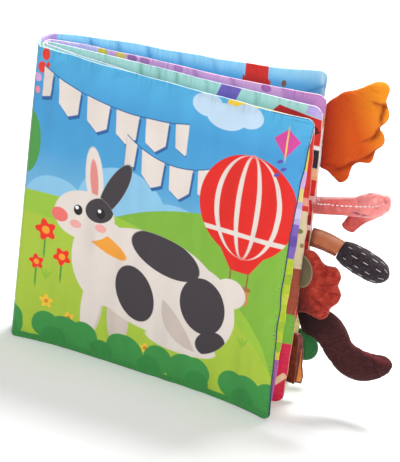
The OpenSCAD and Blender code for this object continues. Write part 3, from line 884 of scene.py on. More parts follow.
def rabbit(cloth):
    ears = cloth.either(cloth.oval((50, 137), (6.6, 23), 8), cloth.oval((66, 133), (7, 23), -24))
    body = cloth.either(
        cloth.oval((100, 72), (55, 37), -7),
        cloth.oval((63, 76), (25, 33), 8),
        cloth.oval((134, 62), (30, 33)),
    )
    legs = cloth.either(cloth.oval((57, 42), (8, 27), -5), cloth.oval((77, 40), (8.5, 25), 3))
    feet = cloth.either(cloth.oval((126, 33), (27, 7.5)), cloth.oval((158, 82), (12, 11)))
    cloth.paint(CREAM, cloth.either(ears, feet))
    cloth.paint(CHARCOAL, cloth.oval((66, 133), (7, 23), -24))
    cloth.paint("E58C86", cloth.oval((50, 136), (3, 15), 8))
    cloth.paint("D5C6BC", legs)
    cloth.paint(CREAM, cloth.either(body, cloth.oval((56, 43), (7.4, 25.5), -5)))
    for place, size, turn in (
        ((108, 95), (27, 14), -16),
        ((88, 60), (14, 21), 22),
        ((139, 66), (17, 21), 12),
        ((148, 40), (12, 9), 30),
    ):
        cloth.paint(CHARCOAL, cloth.oval(place, size, turn), body)
    cloth.paint("CFC0B6", cloth.oval((136, 57), (27, 27)), cloth.oval((120, 40), (9, 30), 38), body)
    cloth.paint("F2A13A", cloth.oval((60, 92), (21, 6), -24))
    head = cloth.oval((45, 107), (23, 18.5), 8)
    cloth.paint(CREAM, head)
    cloth.paint(CHARCOAL, cloth.oval((56, 114), (11, 9), 30), head)
    cloth.paint("1E1A1C", cloth.either(cloth.oval((40, 110), (3.3, 3.9)), cloth.oval((57, 112), (3.3, 3.9))))
    cloth.paint("FFFFFF", cloth.either(cloth.oval((39, 111.6), (1.3, 1.3)), cloth.oval((56, 113.6), (1.3, 1.3))))
    cloth.paint("EE7470", cloth.oval((26.5, 103), (6.4, 5.2), -10))
    cloth.paint("F0AAA4", cloth.either(cloth.oval((39, 99), (4.4, 3)), cloth.oval((58, 101), (4.4, 3))))
    cloth.ovals("4B3836", ((57, 15.5), (6, 3)), ((78, 15.5), (6, 3)))


def balloon(cloth):
    centre, high = (163, 148), 38
    neck = cloth.corners([(142, 122), (156, 100), (170, 100), (184, 122)])
    cloth.paint(RED, cloth.either(cloth.oval(centre, (35, high)), neck))
    for wide, code in ((24, CREAM), (20.5, RED), (9, CREAM), (5.5, RED)):
        cloth.paint(code, cloth.oval(centre, (wide, high)))
    cloth.paint(CREAM, cloth.box((163, 127), (64, 3.4), 0, 1.5), cloth.either(cloth.oval(centre, (35, high)), neck))
    for foot, head in ((156, 157), (170, 169)):
        cloth.paint("8A5A35", cloth.box(((foot + head) / 2, 94), (1.1, 14)))
    cloth.paint("C88D4C", cloth.box((163, 83), (18, 13), 0, 3))
    cloth.paint("A2693A", cloth.box((163, 89), (20, 3), 0, 1.4))


def flowers(cloth):
    for place, size in (((17, 88), 8.5), ((31, 71), 7), ((12, 62), 6)):
        x, z = place
        cloth.paint("4E9A3E", cloth.box((x, z - size - 5), (1.4, 14)))
        cloth.paint("F0301E", cloth.petals(place, size, 5, 20 + x, 0.18))
        cloth.paint("F6A52C", cloth.oval(place, (size * 0.35, size * 0.35)))
    for place, size in (((22, 34), 5.5), ((40, 26), 4.6), ((100, 21), 4)):
        cloth.paint("F5C63C", cloth.petals(place, size, 5, place[0], 0.22))
        cloth.paint("D98A2B", cloth.oval(place, (1.6, 1.6)))
    for place, size in (((136, 18), 8), ((123, 12), 6.5), ((52, 7), 5)):
        cloth.paint("F7F4EA", cloth.petals(place, size, 8, 10, 0.26))
        cloth.paint("E9A94A", cloth.oval(place, (size * 0.3, size * 0.3)))
    cloth.paint("D9302A", cloth.petals((178, 8), 6, 6, 0, 0.2))
    cloth.paint("F3B63C", cloth.oval((178, 8), (2.2, 2.2)))


def kite(cloth):
    cloth.paint("D2479B", cloth.corners([(184, 190), (193, 203), (184, 211), (175, 203)]))
    cloth.paint("F2D75A", cloth.box((184, 200), (1, 19)))
    cloth.ovals("5A4FB0", *((place, (2.2, 1.2), 30) for place in ((181, 187), (184, 182), (180, 177))))


def spine_dots(cloth):
    for place, size, code in (
        ((5, 216), (2.8, 4.6), "E63A2E"),
        ((3, 206), (3.2, 4.2), "E63A2E"),
        ((7.5, 209), (1.6, 2), "E63A2E"),
        ((0, 198), (3.4, 3), "D9A7DC"),
        ((1, 189), (1.8, 2.6), "F08AA0"),
        ((-6, 182), (3, 3), "F08AA0"),
    ):
        cloth.paint(code, cloth.oval(place, size))
    cloth.paint("4E9A4A", cloth.oval((-4, 150), (11, 24)))
    cloth.paint("6A4030", cloth.box((-6, 118), (2.4, 26)))


def front_print(cloth):
    sky(cloth)
    spine_dots(cloth)
    meadow(cloth)
    flags(cloth, (15, 203), (123, 197), 22, 9, (5, 115))
    flags(cloth, (81, 169), (127, 165), 21, 5, (71, 133))
    balloon(cloth)
    kite(cloth)
    rabbit(cloth)
    flowers(cloth)
    hedge(cloth)


front_material = printed(
    "front_cover_print", "4BA3DA", front_print, head="EAF6FB", fore="26405E", corner=203, wide=-0.3
)
print("front cover:", len(front_material.node_tree.nodes), "nodes")

# %% [markdown]
# ## The inner prints
# Each leaf shows only its fore-edge, a strip below the head and, when the covers are opened, its outer faces.
# They are printed in plain fields: sunny greens, mint, mauve and red, with a few large simple shapes.

# %% The inner prints
def bands(cloth, *stops):
    """Fields of colour one above another, each from its low edge up to the next one's."""
    for (low, code), (high, _) in zip(stops, stops[1:] + ((230, None),)):
        cloth.paint(code, cloth.box((110, (low + high) / 2), (220, high - low)))


def leaf_1_front(cloth):
    bands(
        cloth, (0, "B667B4"), (37, "E6D24A"), (52, "BFD436"), (115, "8766C2"), (141, "C4B2E2"), (158, "F0DC86"),
        (168, "E0B4E4"), (181, "E4DA52"),
    )
    dots = (47, "9CC23A"), (63, "A9C63A"), (84, "D8DE52"), (99, "A6C438"), (128, "6F52B0"), (149, "DCCBF0")
    for high, code in dots:
        cloth.paint(code, cloth.oval((194, high), (5, 4), 20))
    cloth.paint("B9E4DC", cloth.box((90, 214), (210, 18)))
    cloth.paint("F2DA4A", cloth.box((140, 216), (60, 5), 0, 2))
    for place in ((40, 70), (90, 88), (140, 72)):
        cloth.paint("8FBF3C", cloth.oval(place, (24, 18)))
        cloth.paint("F7F4EA", cloth.petals((place[0], place[1] + 12), 9, 6, 0, 0.24))
        cloth.paint("F3A63A", cloth.oval((place[0], place[1] + 12), (3, 3)))


def leaf_2_front(cloth):
    bands(
        cloth, (0, "D8204A"), (48, "74B03C"), (71, "A44C34"), (107, "DFCBA6"), (151, "D8302A"), (155, "F0A090"),
        (161, "DA2A22"),
    )
    cloth.paint("7E7A3C", cloth.oval((193, 135.5), (2.6, 2)))
    cloth.paint("9A7A4E", cloth.oval((196, 125), (1.4, 1.8)))
    cloth.paint("F0C9A0", cloth.box((193, 19), (12, 4.4), 48, 1.5))
    cloth.paint("8E1A18", cloth.box((190, 180), (1.6, 44)))
    cloth.paint("C8E9E2", cloth.box((80, 214), (190, 20)))


def leaf_3_front(cloth):
    cloth.fade([(60, "C62A25"), (150, "D8EFE6"), (200, "A4CFBC"), (214, "BDE3D2")])
    # Painted shade in the dents that the head seam pulls in.
    for along, reach, strong in ((65, 6, 0.8), (78, 9, 0.6), (91, 5, 0.8), (113, 8, 0.5), (148, 6, 0.6)):
        cloth.paint("84B29C", cloth.crease((along, 217), (along + 0.2 * reach, 217 - reach), 3.6, strong))
    cloth.paint("7E63B4", cloth.corners([(121, 208.5), (134, 206), (138, 218), (124, 219)]))
    red = [(158, 40), (220, 40), (220, 206), (195, 209.6), (180, 213), (167, 215.4), (158, 205)]
    cloth.paint("D8241D", cloth.corners(red))
    cloth.paint("C9AEE2", cloth.corners([(184, 212.4), (200, 208.6), (200, 219), (186, 219)]))
    cloth.paint("4A0F10", cloth.either(cloth.oval((191, 201.5), (3, 2.6)), cloth.box((193, 199.4), (6, 1.2), 30)))
    # The dark red box at 130 mm is painted shade under the pink tail.
    cloth.boxes(
        ("F6EFEA", (196, 181), (9, 19)), ("1F1518", (196, 181), (7, 13.4)), ("EDAE80", (196, 170), (10, 8.4)),
        ("F4D2C4", (196, 152.6), (10, 3)), ("8C1412", (197, 130), (9, 20)), ("F4C4C8", (197, 130.6), (9, 3.6)),
    )


def leaf_4_front(cloth):
    cloth.fade([(60, "F2E59A"), (150, "EFE0A8"), (185, "DCA0CC"), (219, "E6A8D4")])
    cloth.paint("D6C4EA", cloth.box((20, 214), (44, 30)))
    dots = (37, "F0D040"), (50, "EBC85A"), (58, "A66AA0"), (67, "B87AAE"), (91, "C684BC"), (153, "B46AAA")
    for along, code in dots:
        cloth.paint(code, cloth.oval((along, 216), (3.6, 2.6), -12))
    # Painted shade in the dents that the head seam pulls in.
    for along in (104, 131, 166):
        cloth.paint("B87AAE", cloth.crease((along - 2, 218), (along + 3, 208), 4, 0.7))
    cloth.boxes(
        ("D08AC2", (182, 212), (34, 14)), ("E8906A", (196, 199), (10, 10)), ("F5F0EC", (197, 165), (8, 58)),
        ("F3E58E", (197, 98), (8, 80)),
    )


def back_inside(cloth):
    # Painted light and shade: the blue pales at the head, dark lines lie in the dents under the head seam, a pale
    # line down the fore-edge corner is a painted highlight, and a dark wedge beside it is painted shade.
    cloth.fade([(60, "8FD0F0"), (196, "4C9ED6"), (210, "66B4E2"), (219, "A2DCF6")])
    for along, reach, strong in ((26, 9, 0.8), (45, 11, 0.6), (66, 6, 0.7), (88, 10, 0.5), (112, 4, 0.4)):
        cloth.paint("3A86C0", cloth.crease((along, 217), (along + 0.3 * reach, 218 - reach), 4.5, strong))
    cloth.paint("BDE6FA", cloth.crease((186, 219), (190, 196), 4, 0.9))
    cloth.paint("3A8CC8", cloth.crease((176, 205), (188, 209), 4, 0.8))
    ragged = cloth.row((130, 209), (154, 208), 4.2)
    cloth.paint("E2281F", cloth.corners([(134, 209), (150, 208), (149, 221), (133.5, 221)]))
    cloth.paint("E2281F", cloth.oval((0, 0), (2.6, 4), 12, ragged), cloth.box((142, 208), (19, 14)))
    cloth.paint("8A5A3A", cloth.oval((160.5, 210), (1.6, 2.4)))
    cloth.paint("8CC65A", cloth.oval((60, -10), (120, 70)))
    cloth.paint("6DB24A", cloth.oval((170, -20), (90, 72)))
    cloth.ovals("F7F1E4", ((70, 120), (34, 15)), ((92, 128), (22, 15)))
    cloth.paint("C9A8DC", cloth.edge(cloth.along, 1, -3))


def back_outside(cloth):
    cloth.fade([(100, "8CC7E7"), (150, "4BA3DA"), (190, "459FDA"), (219, "58B8EA")])
    spine_dots(cloth)
    cloth.paint("84BE3C", cloth.oval((120, 0), (160, 96)))
    cloth.paint("B0D140", cloth.oval((60, -20), (160, 96)))
    cloth.ovals("DCE9F4", ((60, 168), (24, 12)), ((84, 174), (18, 13)), ((140, 140), (22, 10)))
    cloth.paint(RED, cloth.petals((110, 112), 26, 6, 0, 0.16))
    cloth.paint("F6C63A", cloth.oval((110, 112), (9, 9)))
    cloth.paint("3E8E44", cloth.box((110, 62), (4, 50)))
    hedge(cloth)


def rear_field(cloth):
    cloth.fade([(30, "9CCB3E"), (90, "CFE6A0"), (150, "BFE3F2"), (219, "9AD2EE")])
    for place, code in (((60, 150), "F2D648"), ((130, 120), "EE7470"), ((150, 180), "C6B4E2"), ((40, 90), "F7F4EA")):
        cloth.paint(code, cloth.petals(place, 16, 6, place[0], 0.2))


def dress_inner(name, ground, design, head=None, fore=None):
    front = printed(name + "_front", ground, design, head, fore)
    dress(panels[name], front, printed(name + "_rear", ground, rear_field, head, fore))


dress(panels["front_cover"], front_material, printed("front_cover_inside", "8FD0F0", rear_field, fore="26405E"))
dress_inner("leaf_1", "C6B4E2", leaf_1_front, head="EAD48A")
dress_inner("leaf_2", "CF2A24", leaf_2_front, head="F0C4DC", fore="E08478")
dress_inner("leaf_3", "BFE6D8", leaf_3_front, head="E9DDF4", fore="F4D3D2")
dress_inner("leaf_4", "E2A3D6", leaf_4_front, head="F8D2E6", fore="F0B9A4")
back_material = printed("back_cover_inside", "62B8EA", back_inside)
dress(panels["back_cover"], back_material, printed("back_print", "459FDA", back_outside))
print("printed faces:", sum(len(p.data.materials) for p in panels.values()))

# %% [markdown]
# ## Where the tails are sewn in
# Each tail is sewn into the fore-edge of one leaf, and it is easiest to shape in its own axes, in millimetres:
# x runs out of the book, y goes across the leaf and z up. A small class turns points of the book into those
# axes and back.


# %% Roots of the tails
class Root:
    """A place on a leaf's fore-edge, with a tail's own axes."""

    def __init__(self, leaf):
        line = BENDS[leaf]
        self.at = np.array([np.interp(line.width, line.at, line.x), np.interp(line.width, line.at, line.y), 0])
        turn = float(np.interp(line.width, line.at, line.heading))
        self.axes = np.array([[math.cos(turn), math.sin(turn), 0], [-math.sin(turn), math.cos(turn), 0], [0, 0, 1]])

    def inward(self, points):
        return (points / MM - self.at) @ self.axes.T

    def outward(self, points):
        return (points @ self.axes + self.at) * MM


ROOTS = {leaf: Root(leaf) for leaf in LEAVES[1:]}
print("leaf 2's tails start at", ROOTS["leaf_2"].at.round(1), "mm")

# %% [markdown]
# ## Skins for the flat tails
# The flat, lobed tails are cut from two cloths. The construction has their outline, so its mesh is copied,
# merged, and covered with small even faces by a voxel remesh, ready for the simulation.


# %% Skins
def apply_modifier(piece, kind, **settings):
    choose(piece)
    bpy.ops.object.modifier_add(type=kind)
    modifier = piece.modifiers[-1]
    for key, value in settings.items():
        setattr(modifier, key, value)
    bpy.ops.object.modifier_apply(modifier=modifier.name)


def soft_copy(node, name, voxel):
    piece = bpy.data.objects.new(name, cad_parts[node].data.copy())
    piece.data.name = name
    piece.data.materials.clear()
    bpy.context.scene.collection.objects.link(piece)
    choose(piece)
    bpy.ops.object.mode_set(mode="EDIT")
    bpy.ops.mesh.select_all(action="SELECT")
    bpy.ops.mesh.remove_doubles(threshold=0.00001)
    bpy.ops.object.mode_set(mode="OBJECT")
    apply_modifier(piece, "REMESH", mode="VOXEL", voxel_size=voxel * MM)
    return piece


def remember_flat(piece, local):
    """Where each point lies on a flat tail, out of the book and up, for its pattern."""
    remember(piece, "flat", np.stack([local[:, 0], local[:, 2], np.ones(len(local))], -1))


# %% [markdown]
# ## Tubes of cloth
# The round tails are tubes. A cylinder is divided along its length, and its rings are set on a smooth curve
# through a few stations, each with its place, half height and half thickness. Every point keeps how far along
# and how far round the cloth it lies, because stripes, stitches and threads follow those directions.


# %% Tubes
def curve_through(stations, steps):
    """A smooth curve through the stations, stepped in even lengths."""
    stations = np.array(stations, float)
    knots = np.vstack([2 * stations[0] - stations[1], stations, 2 * stations[-1] - stations[-2]])
    t = np.linspace(0, 1, 24, endpoint=False)[:, None]
    parts = []
    for a, b, c, d in zip(knots, knots[1:], knots[2:], knots[3:]):
        square, cube = 2 * a - 5 * b + 4 * c - d, 3 * b - a - 3 * c + d
        parts.append(0.5 * (2 * b + (c - a) * t + square * t**2 + cube * t**3))
    fine = np.vstack(parts + [stations[-1:]])
    length = np.concatenate([[0], np.cumsum(np.linalg.norm(np.diff(fine[:, :3], axis=0), axis=1))])
    at = np.linspace(0, length[-1], steps)
    return at, np.stack([np.interp(at, length, column) for column in fine.T], -1)


def divided_cylinder(name, rings, around):
    deselect()
    bpy.context.tool_settings.mesh_select_mode = (False, True, False)
    bpy.ops.mesh.primitive_cylinder_add(vertices=around, radius=1, depth=1, end_fill_type="TRIFAN")
    piece = bpy.context.object
    piece.name = piece.data.name = name
    bpy.ops.object.mode_set(mode="EDIT")
    bpy.ops.mesh.select_all(action="DESELECT")
    bpy.ops.object.mode_set(mode="OBJECT")
    for edge in piece.data.edges:
        ends = [piece.data.vertices[v].co.z for v in edge.vertices]
        edge.select = abs(ends[0] - ends[1]) > 0.5
    bpy.ops.object.mode_set(mode="EDIT")
    bpy.ops.mesh.subdivide(number_cuts=rings - 2)
    bpy.ops.object.mode_set(mode="OBJECT")
    bpy.context.tool_settings.mesh_select_mode = (True, False, False)
    return piece


def remember_corners(piece, along, angle, girth):
    """Length and girth in mm for each corner of each face, so that the pattern closes round the tube."""
    corner_points = np.zeros(len(piece.data.loops), np.int32)
    piece.data.loops.foreach_get("vertex_index", corner_points)
    values = np.ones((len(corner_points), 3), np.float32)
    values[:, 0] = along[corner_points]
    turns = angle[corner_points]
    for polygon in piece.data.polygons:
        part = turns[polygon.loop_start : polygon.loop_start + polygon.loop_total]
        if part.max() - part.min() > math.pi:
            part[part < 0] += math.tau
    values[:, 1] = turns / math.tau * girth[corner_points]
    attribute = piece.data.attributes.new("flat", "FLOAT_VECTOR", "CORNER")
    attribute.data.foreach_set("vector", values.ravel())


class Tube:
    """A tube of cloth on its curve. Angle 0 faces the back, 90 degrees is the top and 180 the front."""

    def __init__(self, name, leaf, stations, rings, around, round_end=0.0, press=None):
        self.root = ROOTS[leaf]
        self.at, self.curve = curve_through(stations, rings)
        heading = np.gradient(self.curve[:, :3], axis=0)
        self.heading = heading / np.linalg.norm(heading, axis=1, keepdims=True)
        up = np.array([0, 0, 1]) - self.heading * self.heading[:, 2:3]
        self.up = up / np.linalg.norm(up, axis=1, keepdims=True)
        self.across = np.cross(self.up, self.heading)
        if round_end:
            near = np.clip((self.at - self.at[-1] + round_end) / round_end, 0, 1)
            self.curve[:, 3:] *= np.sqrt(1 - 0.985 * near**2)[:, None]
        self.press = press
        self.piece = divided_cylinder(name, rings, around)
        points = points_of(self.piece)
        self.ring = np.rint((points[:, 2] + 0.5) * (rings - 1)).astype(int)
        self.angle = np.arctan2(points[:, 1], points[:, 0])
        self.radius = np.hypot(points[:, 0], points[:, 1])
        move_points(self.piece, self.root.outward(self.local(self.ring, self.angle, self.radius)))
        girth = np.pi * (self.curve[self.ring, 3] + self.curve[self.ring, 4])
        remember_corners(self.piece, self.at[self.ring], self.angle, np.maximum(girth, girth.max() * 0.6))

    def local(self, ring, angle, radius=1.0):
        rise = self.curve[ring, 3] * np.sin(angle) * radius
        out = self.curve[ring, 4] * np.cos(angle) * radius
        if self.press is not None:
            out = out * self.press(self.at[ring], np.sin(angle))
        return self.curve[ring, :3] + rise[:, None] * self.up[ring] + out[:, None] * self.across[ring]

    def places(self, along, angle):
        """Points of the cloth in the book, from lengths in mm and angles in degrees."""
        ring = np.clip(np.searchsorted(self.at, along), 0, len(self.at) - 1)
        return self.root.outward(self.local(ring, np.radians(angle)))


# %% [markdown]
# ## Filling the tails
# Real tails are sewn, turned and stuffed, so their seams gather. A cloth simulation does that: pressure blows
# the skin up, the seam is told to shrink, and the root stays sewn. All points are also held a little, or the
# tail would drift. It is run at ten times the size, because the solver is steadier on larger pieces. Only a
# part of the movement in the tail's own plane is kept, so that its outline stays, and no point may end
# further than the cap from its start.

# %% Filling
FIBRE_FRAMES, HOLD = 20, 0.3


def fill_with_fibre(piece, root, sewn, seam, force, shrink, cap, in_plane=0.5):
    start = points_of(piece)
    for group_name, weights in (("sewn", np.maximum(sewn, HOLD)), ("seam", seam)):
        group = piece.vertex_groups.new(name=group_name)
        for point, weight in enumerate(weights):
            group.add([point], float(weight), "REPLACE")
    move_points(piece, start * SIM_SCALE)
    run_cloth(
        piece, FIBRE_FRAMES, quality=6, shear_stiffness=8, bending_stiffness=0.4, vertex_group_shrink="seam",
        shrink_min=0, shrink_max=shrink, uniform_pressure_force=force,
    )
    moved = (points_of(piece) / SIM_SCALE - start) @ root.axes.T
    moved = moved * np.array([in_plane, 1, in_plane]) @ root.axes
    far = np.linalg.norm(moved, axis=1, keepdims=True)
    move_points(piece, start + moved * np.minimum(1, cap * MM / np.maximum(far, 1e-9)))
    piece.vertex_groups.clear()
    print(piece.name, "filled: points moved", round(float(far.mean() / MM), 2), "mm on average")


def normals_of(piece):
    values = np.zeros(len(piece.data.vertices) * 3, np.float32)
    piece.data.vertex_normals.foreach_get("vector", values)
    return values.reshape(-1, 3).astype(float)


def press_crease(piece, root, line, depth, width, lift=0.0):
    """Presses a crease along a bent line, strongest where the line starts. Lift raises the cloth on its left."""
    points, normals = points_of(piece), normals_of(piece)
    local = root.inward(points)
    x, z = local[:, 0], local[:, 2]
    best, side, share = np.full(len(x), 1e9), np.zeros(len(x)), np.zeros(len(x))
    steps = np.cumsum([0] + [math.dist(a, b) for a, b in zip(line, line[1:])])
    for (a, b), done in zip(zip(line, line[1:]), steps):
        way = np.subtract(b, a)
        t = np.clip(((x - a[0]) * way[0] + (z - a[1]) * way[1]) / (way @ way), 0, 1)
        dx, dz = x - a[0] - t * way[0], z - a[1] - t * way[1]
        far = np.hypot(dx, dz)
        nearer = far < best
        best = np.where(nearer, far, best)
        side = np.where(nearer, np.sign(way[0] * dz - way[1] * dx), side)
        share = np.where(nearer, (done + t * math.hypot(*way)) / steps[-1], share)
    strength = 1 - 0.85 * share
    dent = -depth * np.exp(-((best / width) ** 2))
    raised = lift * side * (best / width) * np.exp(-((best / width / 1.6) ** 2)) * 2
    off_seam = 1 - np.exp(-((local[:, 1] / 1.6) ** 2))
    move_points(piece, points + normals * ((dent + raised) * strength * off_seam * MM)[:, None])


def finish_skin(piece):
    """One subdivision and smooth shading."""
    apply_modifier(piece, "SUBSURF", levels=1, render_levels=1)
    choose(piece)
    bpy.ops.object.shade_smooth()


def rest_on_leaf(piece, node):
    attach(piece, MAIN)
    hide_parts(node)


# %% [markdown]
# ## Finishes for the tails
# The tails are there to be felt, so each has another cloth. One function makes the woven ones and one the
# furry ones. Both take soft washes of colour across the piece, most of them painted shade near the root and
# painted light on the lit side, and a paler rim along the sewn edge, a painted highlight where the cloth bends
# over and catches the light.


# %% Finishes for the tails
def wash(cloth, code, across, up, constant):
    """A broad wash of colour that grows along a direction. On the tails most washes paint the shade near a root and
    the light on a lit side.
    """
    cloth.paint(code, cloth.math("MULTIPLY", cloth.line(across, up, constant), 1.0, clamp=True))


def rim_mask(cloth, strength):
    return cloth.math("MULTIPLY", attribute(cloth.tree, "rim"), strength, clamp=True)


def patches(cloth, code, size, low, high, detail=3.0):
    """Uneven patches of another shade, about so many millimetres across."""
    uneven, factor = noise(cloth.tree, object_places(cloth.tree), 1000 / size, detail), 1 / (high - low)
    cloth.paint(code, cloth.math("MULTIPLY_ADD", uneven, factor, -low * factor, clamp=True))


def furry(cloth, size, depth, sheen, tint):
    """Pile: a fine uneven surface with a strong sheen."""
    where = object_places(cloth.tree)
    fibres, clumps = noise(cloth.tree, where, 1000 / size), noise(cloth.tree, where, 220 / size)
    height = cloth.math("ADD", fibres, clumps)
    cloth.tone(cloth.math("MULTIPLY_ADD", fibres, 0.5, 0.75))
    cloth.tree.links.new(bump(cloth.tree, height, depth, 0.0006), cloth.shader.inputs["Normal"])
    set_values(cloth.shader, {
        "Roughness": 0.9, "Specular IOR Level": 0.2, "Sheen Weight": sheen, "Sheen Roughness": 0.5,
        "Sheen Tint": colour(tint),
    })


def thread_material(name, code):
    material, tree, shader = new_material(name)
    uneven = noise(tree, object_places(tree), 1500.0)
    twist = add_node(tree, "ShaderNodeMix", {0: uneven}, data_type="RGBA")
    twist.inputs[6].default_value = colour(code)
    twist.inputs[7].default_value = [0.72 * c for c in colour(code)[:3]] + [1.0]
    tree.links.new(twist.outputs[2], shader.inputs["Base Color"])
    set_values(shader, {"Roughness": 0.6, "Sheen Weight": 0.2})
    return material


# %% [markdown]
# ## Stitches
# Where thread shows it is modelled. One plump bead is made, and stretched and copied from point to point into a
# single mesh. Each stitch is laid on the nearest cloth first, so that none floats.


# %% Stitches
def sew(name, starts, ends, thick, material, cloth, sink=0.2):
    """A row of stitches so many millimetres thick, laid on the cloth from each start to its end."""
    deselect()
    bpy.ops.mesh.primitive_uv_sphere_add(segments=8, ring_count=6, radius=0.5)
    bead = bpy.context.object
    bead.name = bead.data.name = name
    shape, faces = points_of(bead), [list(p.vertices) for p in bead.data.polygons]
    shape[:, 2] = np.sin(shape[:, 2] * np.pi * 0.92) / 2
    points, skins = [], []
    starts, ends = np.array(starts, float), np.array(ends, float)
    for number, (start, end) in enumerate(zip(starts, ends)):
        laid, normal = [], Vector((0, 0, 0))
        for place in (start, end):
            _, point, facing, _ = cloth.closest_point_on_mesh(Vector(place))
            laid.append(np.array(point))
            normal += facing
        normal = np.array(normal.normalized())
        way = laid[1] - laid[0]
        side = np.cross(normal, way / max(np.linalg.norm(way), 1e-9))
        middle = (laid[0] + laid[1]) / 2 + normal * (0.5 - sink) * thick * MM
        points.append(middle + shape[:, 2:] * way + (shape[:, :1] * side + shape[:, 1:2] * normal) * thick * MM)
        skins += [[v + number * len(shape) for v in face] for face in faces]
    mesh = bpy.data.meshes.new(name)
    mesh.from_pydata(np.concatenate(points).tolist(), [], skins)
    bead.data = mesh
    mesh.materials.append(material)
    choose(bead)
    bpy.ops.object.shade_smooth()
    print(name, len(starts), "stitches")
    return bead


# %% [markdown]
# ## The overcast edge
# The front cover's fore-edge is sewn over with navy thread. Each stitch starts a little way in on the front
# face, goes round the edge and ends on the inner face, so it is laid as two beads.

# %% The overcast edge
cover = panels["front_cover"]
high = np.arange(4, 212, 2.9)
edge = COVER_W + through(FORE_EDGES["front_cover"], high / BOOK_H)
lip = BENDS["front_cover"].place(edge + 0.5, np.zeros_like(high), high)
navy_thread = thread_material("navy_thread", "22385A")
starts, ends = [], []
for side in (-0.9, 0.9):
    starts.append(BENDS["front_cover"].place(edge - 2.4, np.full_like(high, side), high + 0.5))
    ends.append(lip)
edge_stitches = sew("edge_stitches", np.concatenate(starts), np.concatenate(ends), 0.8, navy_thread, cover)
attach(edge_stitches, FRONT)

# %% [markdown]
# ## The orange tail
# A fan of thin felt with a woven face, sewn to the rearmost leaf. Pleats run in from the notches between its
# lobes, with painted shade along them. The colour is painted from a deep red orange at the root, as shade, to
# a yellow orange at the top and the lobes, as light.

# %% The orange tail
def flat_tail(node, name, leaf, voxel, shrink, cap=2.5):
    piece = soft_copy(node, name, voxel)
    root = ROOTS[leaf]
    local = root.inward(points_of(piece))
    remember_flat(piece, local)
    outer = smoothstep(local[:, 0], -2, 2)
    remember(piece, "rim", np.exp(-((local[:, 1] / 0.9) ** 2)) * outer)
    seam = np.exp(-((local[:, 1] / 1.2) ** 2))
    fill_with_fibre(piece, root, 1 - smoothstep(local[:, 0], 0.5, 3.5), seam, 1.0, shrink, cap, in_plane=0.2)
    return piece, root


orange, root = flat_tail("orange_tail", "orange_fan", "leaf_4", 1.2, shrink=0.17)
press_crease(orange, root, [(36, 216), (31, 215.8), (25, 219)], 2.2, 1.5, -0.9)
press_crease(orange, root, [(34.5, 214), (33.4, 208), (33.9, 200.6)], 1.2, 1.4, 0.7)
press_crease(orange, root, [(34, 198), (31.5, 193.4), (25, 190)], 2.4, 1.6, 0.6)
press_crease(orange, root, [(36.5, 183.6), (29.3, 178), (22.4, 172.4), (14, 168.4)], 1.6, 1.3, 0.9)
press_crease(orange, root, [(17, 170), (9.2, 166.2), (2.1, 168.6), (-3, 167)], 1.3, 1.6, 0.8)
press_crease(orange, root, [(2, 206), (12, 200), (22, 196)], 0.7, 2.6, 0.2)
# The head end of its root is drawn up to the leaf's corner
points = points_of(orange)
local = root.inward(points)
points[:, 2] += 7 * MM * np.exp(-(((local[:, 0] - 3) / 9) ** 2)) * smoothstep(local[:, 2], 186, 210)
move_points(orange, points)
finish_skin(orange)
cloth = Print("orange_felt", "D4540C")
# Painted shade deepens the root, painted light yellows the top and the lobes, and the paler rim is a painted
# highlight.
wash(cloth, "AE2204", -0.055, -0.004, 1.5)
wash(cloth, "F6961C", 0.04, 0.017, -4.05)
cloth.paint("F6A034", rim_mask(cloth, 0.4))
# Painted shade along the pleats.
for line in (
    [(36, 214.6), (28, 217.6)], [(34.6, 214), (33, 207), (34.4, 201)], [(34, 198), (30.5, 193), (24, 190)],
    [(37, 183.6), (29, 178), (20, 172)], [(19, 170.6), (9, 166.4), (1, 169), (-3, 167)],
):
    for number, (start, end) in enumerate(zip(line, line[1:])):
        cloth.paint("8E2606", cloth.crease(start, end, 3.4 - 0.8 * number, 0.85 - 0.2 * number))
finish_cloth(cloth, 1.6, 0.6, 0.85, 0.14, 0.22, sheen=0.02)
orange.data.materials.append(cloth.material)
rest_on_leaf(orange, "orange_tail")
print("orange fan:", len(orange.data.polygons), "faces")

# %% [markdown]
# ## The pink tail
# A satin strap that runs out, curls back behind itself and ends square. It is folded double and topstitched in
# white, so the part above the stitches is thin and flat and the part below is filled.

# %% The pink tail
PINK_LINE = [
    (0, 0, 151.6, 6.2, 0.6), (8, -0.6, 153.5, 6.6, 3.6), (16, -1.5, 155.5, 6.7, 4.4), (24, -2, 157.3, 6.8, 4.6),
    (32, -2.2, 158.7, 7.5, 4.8), (38.5, -2, 161.2, 9.3, 4.8), (45, 0, 163.4, 9.5, 4.5), (49.6, 3.2, 164, 6.6, 3.8),
    (46, 7.3, 160.5, 7.2, 4), (38.5, 9.5, 154, 7.2, 4.2), (31, 9.5, 147.3, 6.4, 4), (25.5, 9.3, 139, 5.5, 3.4),
    (23.4, 9.2, 134.6, 5.3, 2.8),
]


def topstitched(along, rise):
    """Thin above the line of stitches, on the part that runs out of the book."""
    flange = smoothstep(rise, 0.42, 0.66) * (1 - smoothstep(along, 34, 46))
    return 1 - 0.7 * flange


pink = Tube("pink_strap", "leaf_2", PINK_LINE, 96, 32, round_end=1.2, press=topstitched)
along = pink.at[pink.ring]
edges = np.abs(np.sin(pink.angle)) ** 12 * pink.radius
fill_with_fibre(pink.piece, pink.root, 1 - smoothstep(along, 0.5, 4), edges, 0.8, 0.13, 1.6)
remember(pink.piece, "rim", np.clip(edges, 0, 1))
finish_skin(pink.piece)
cloth = Print("pink_satin", "CE5550")
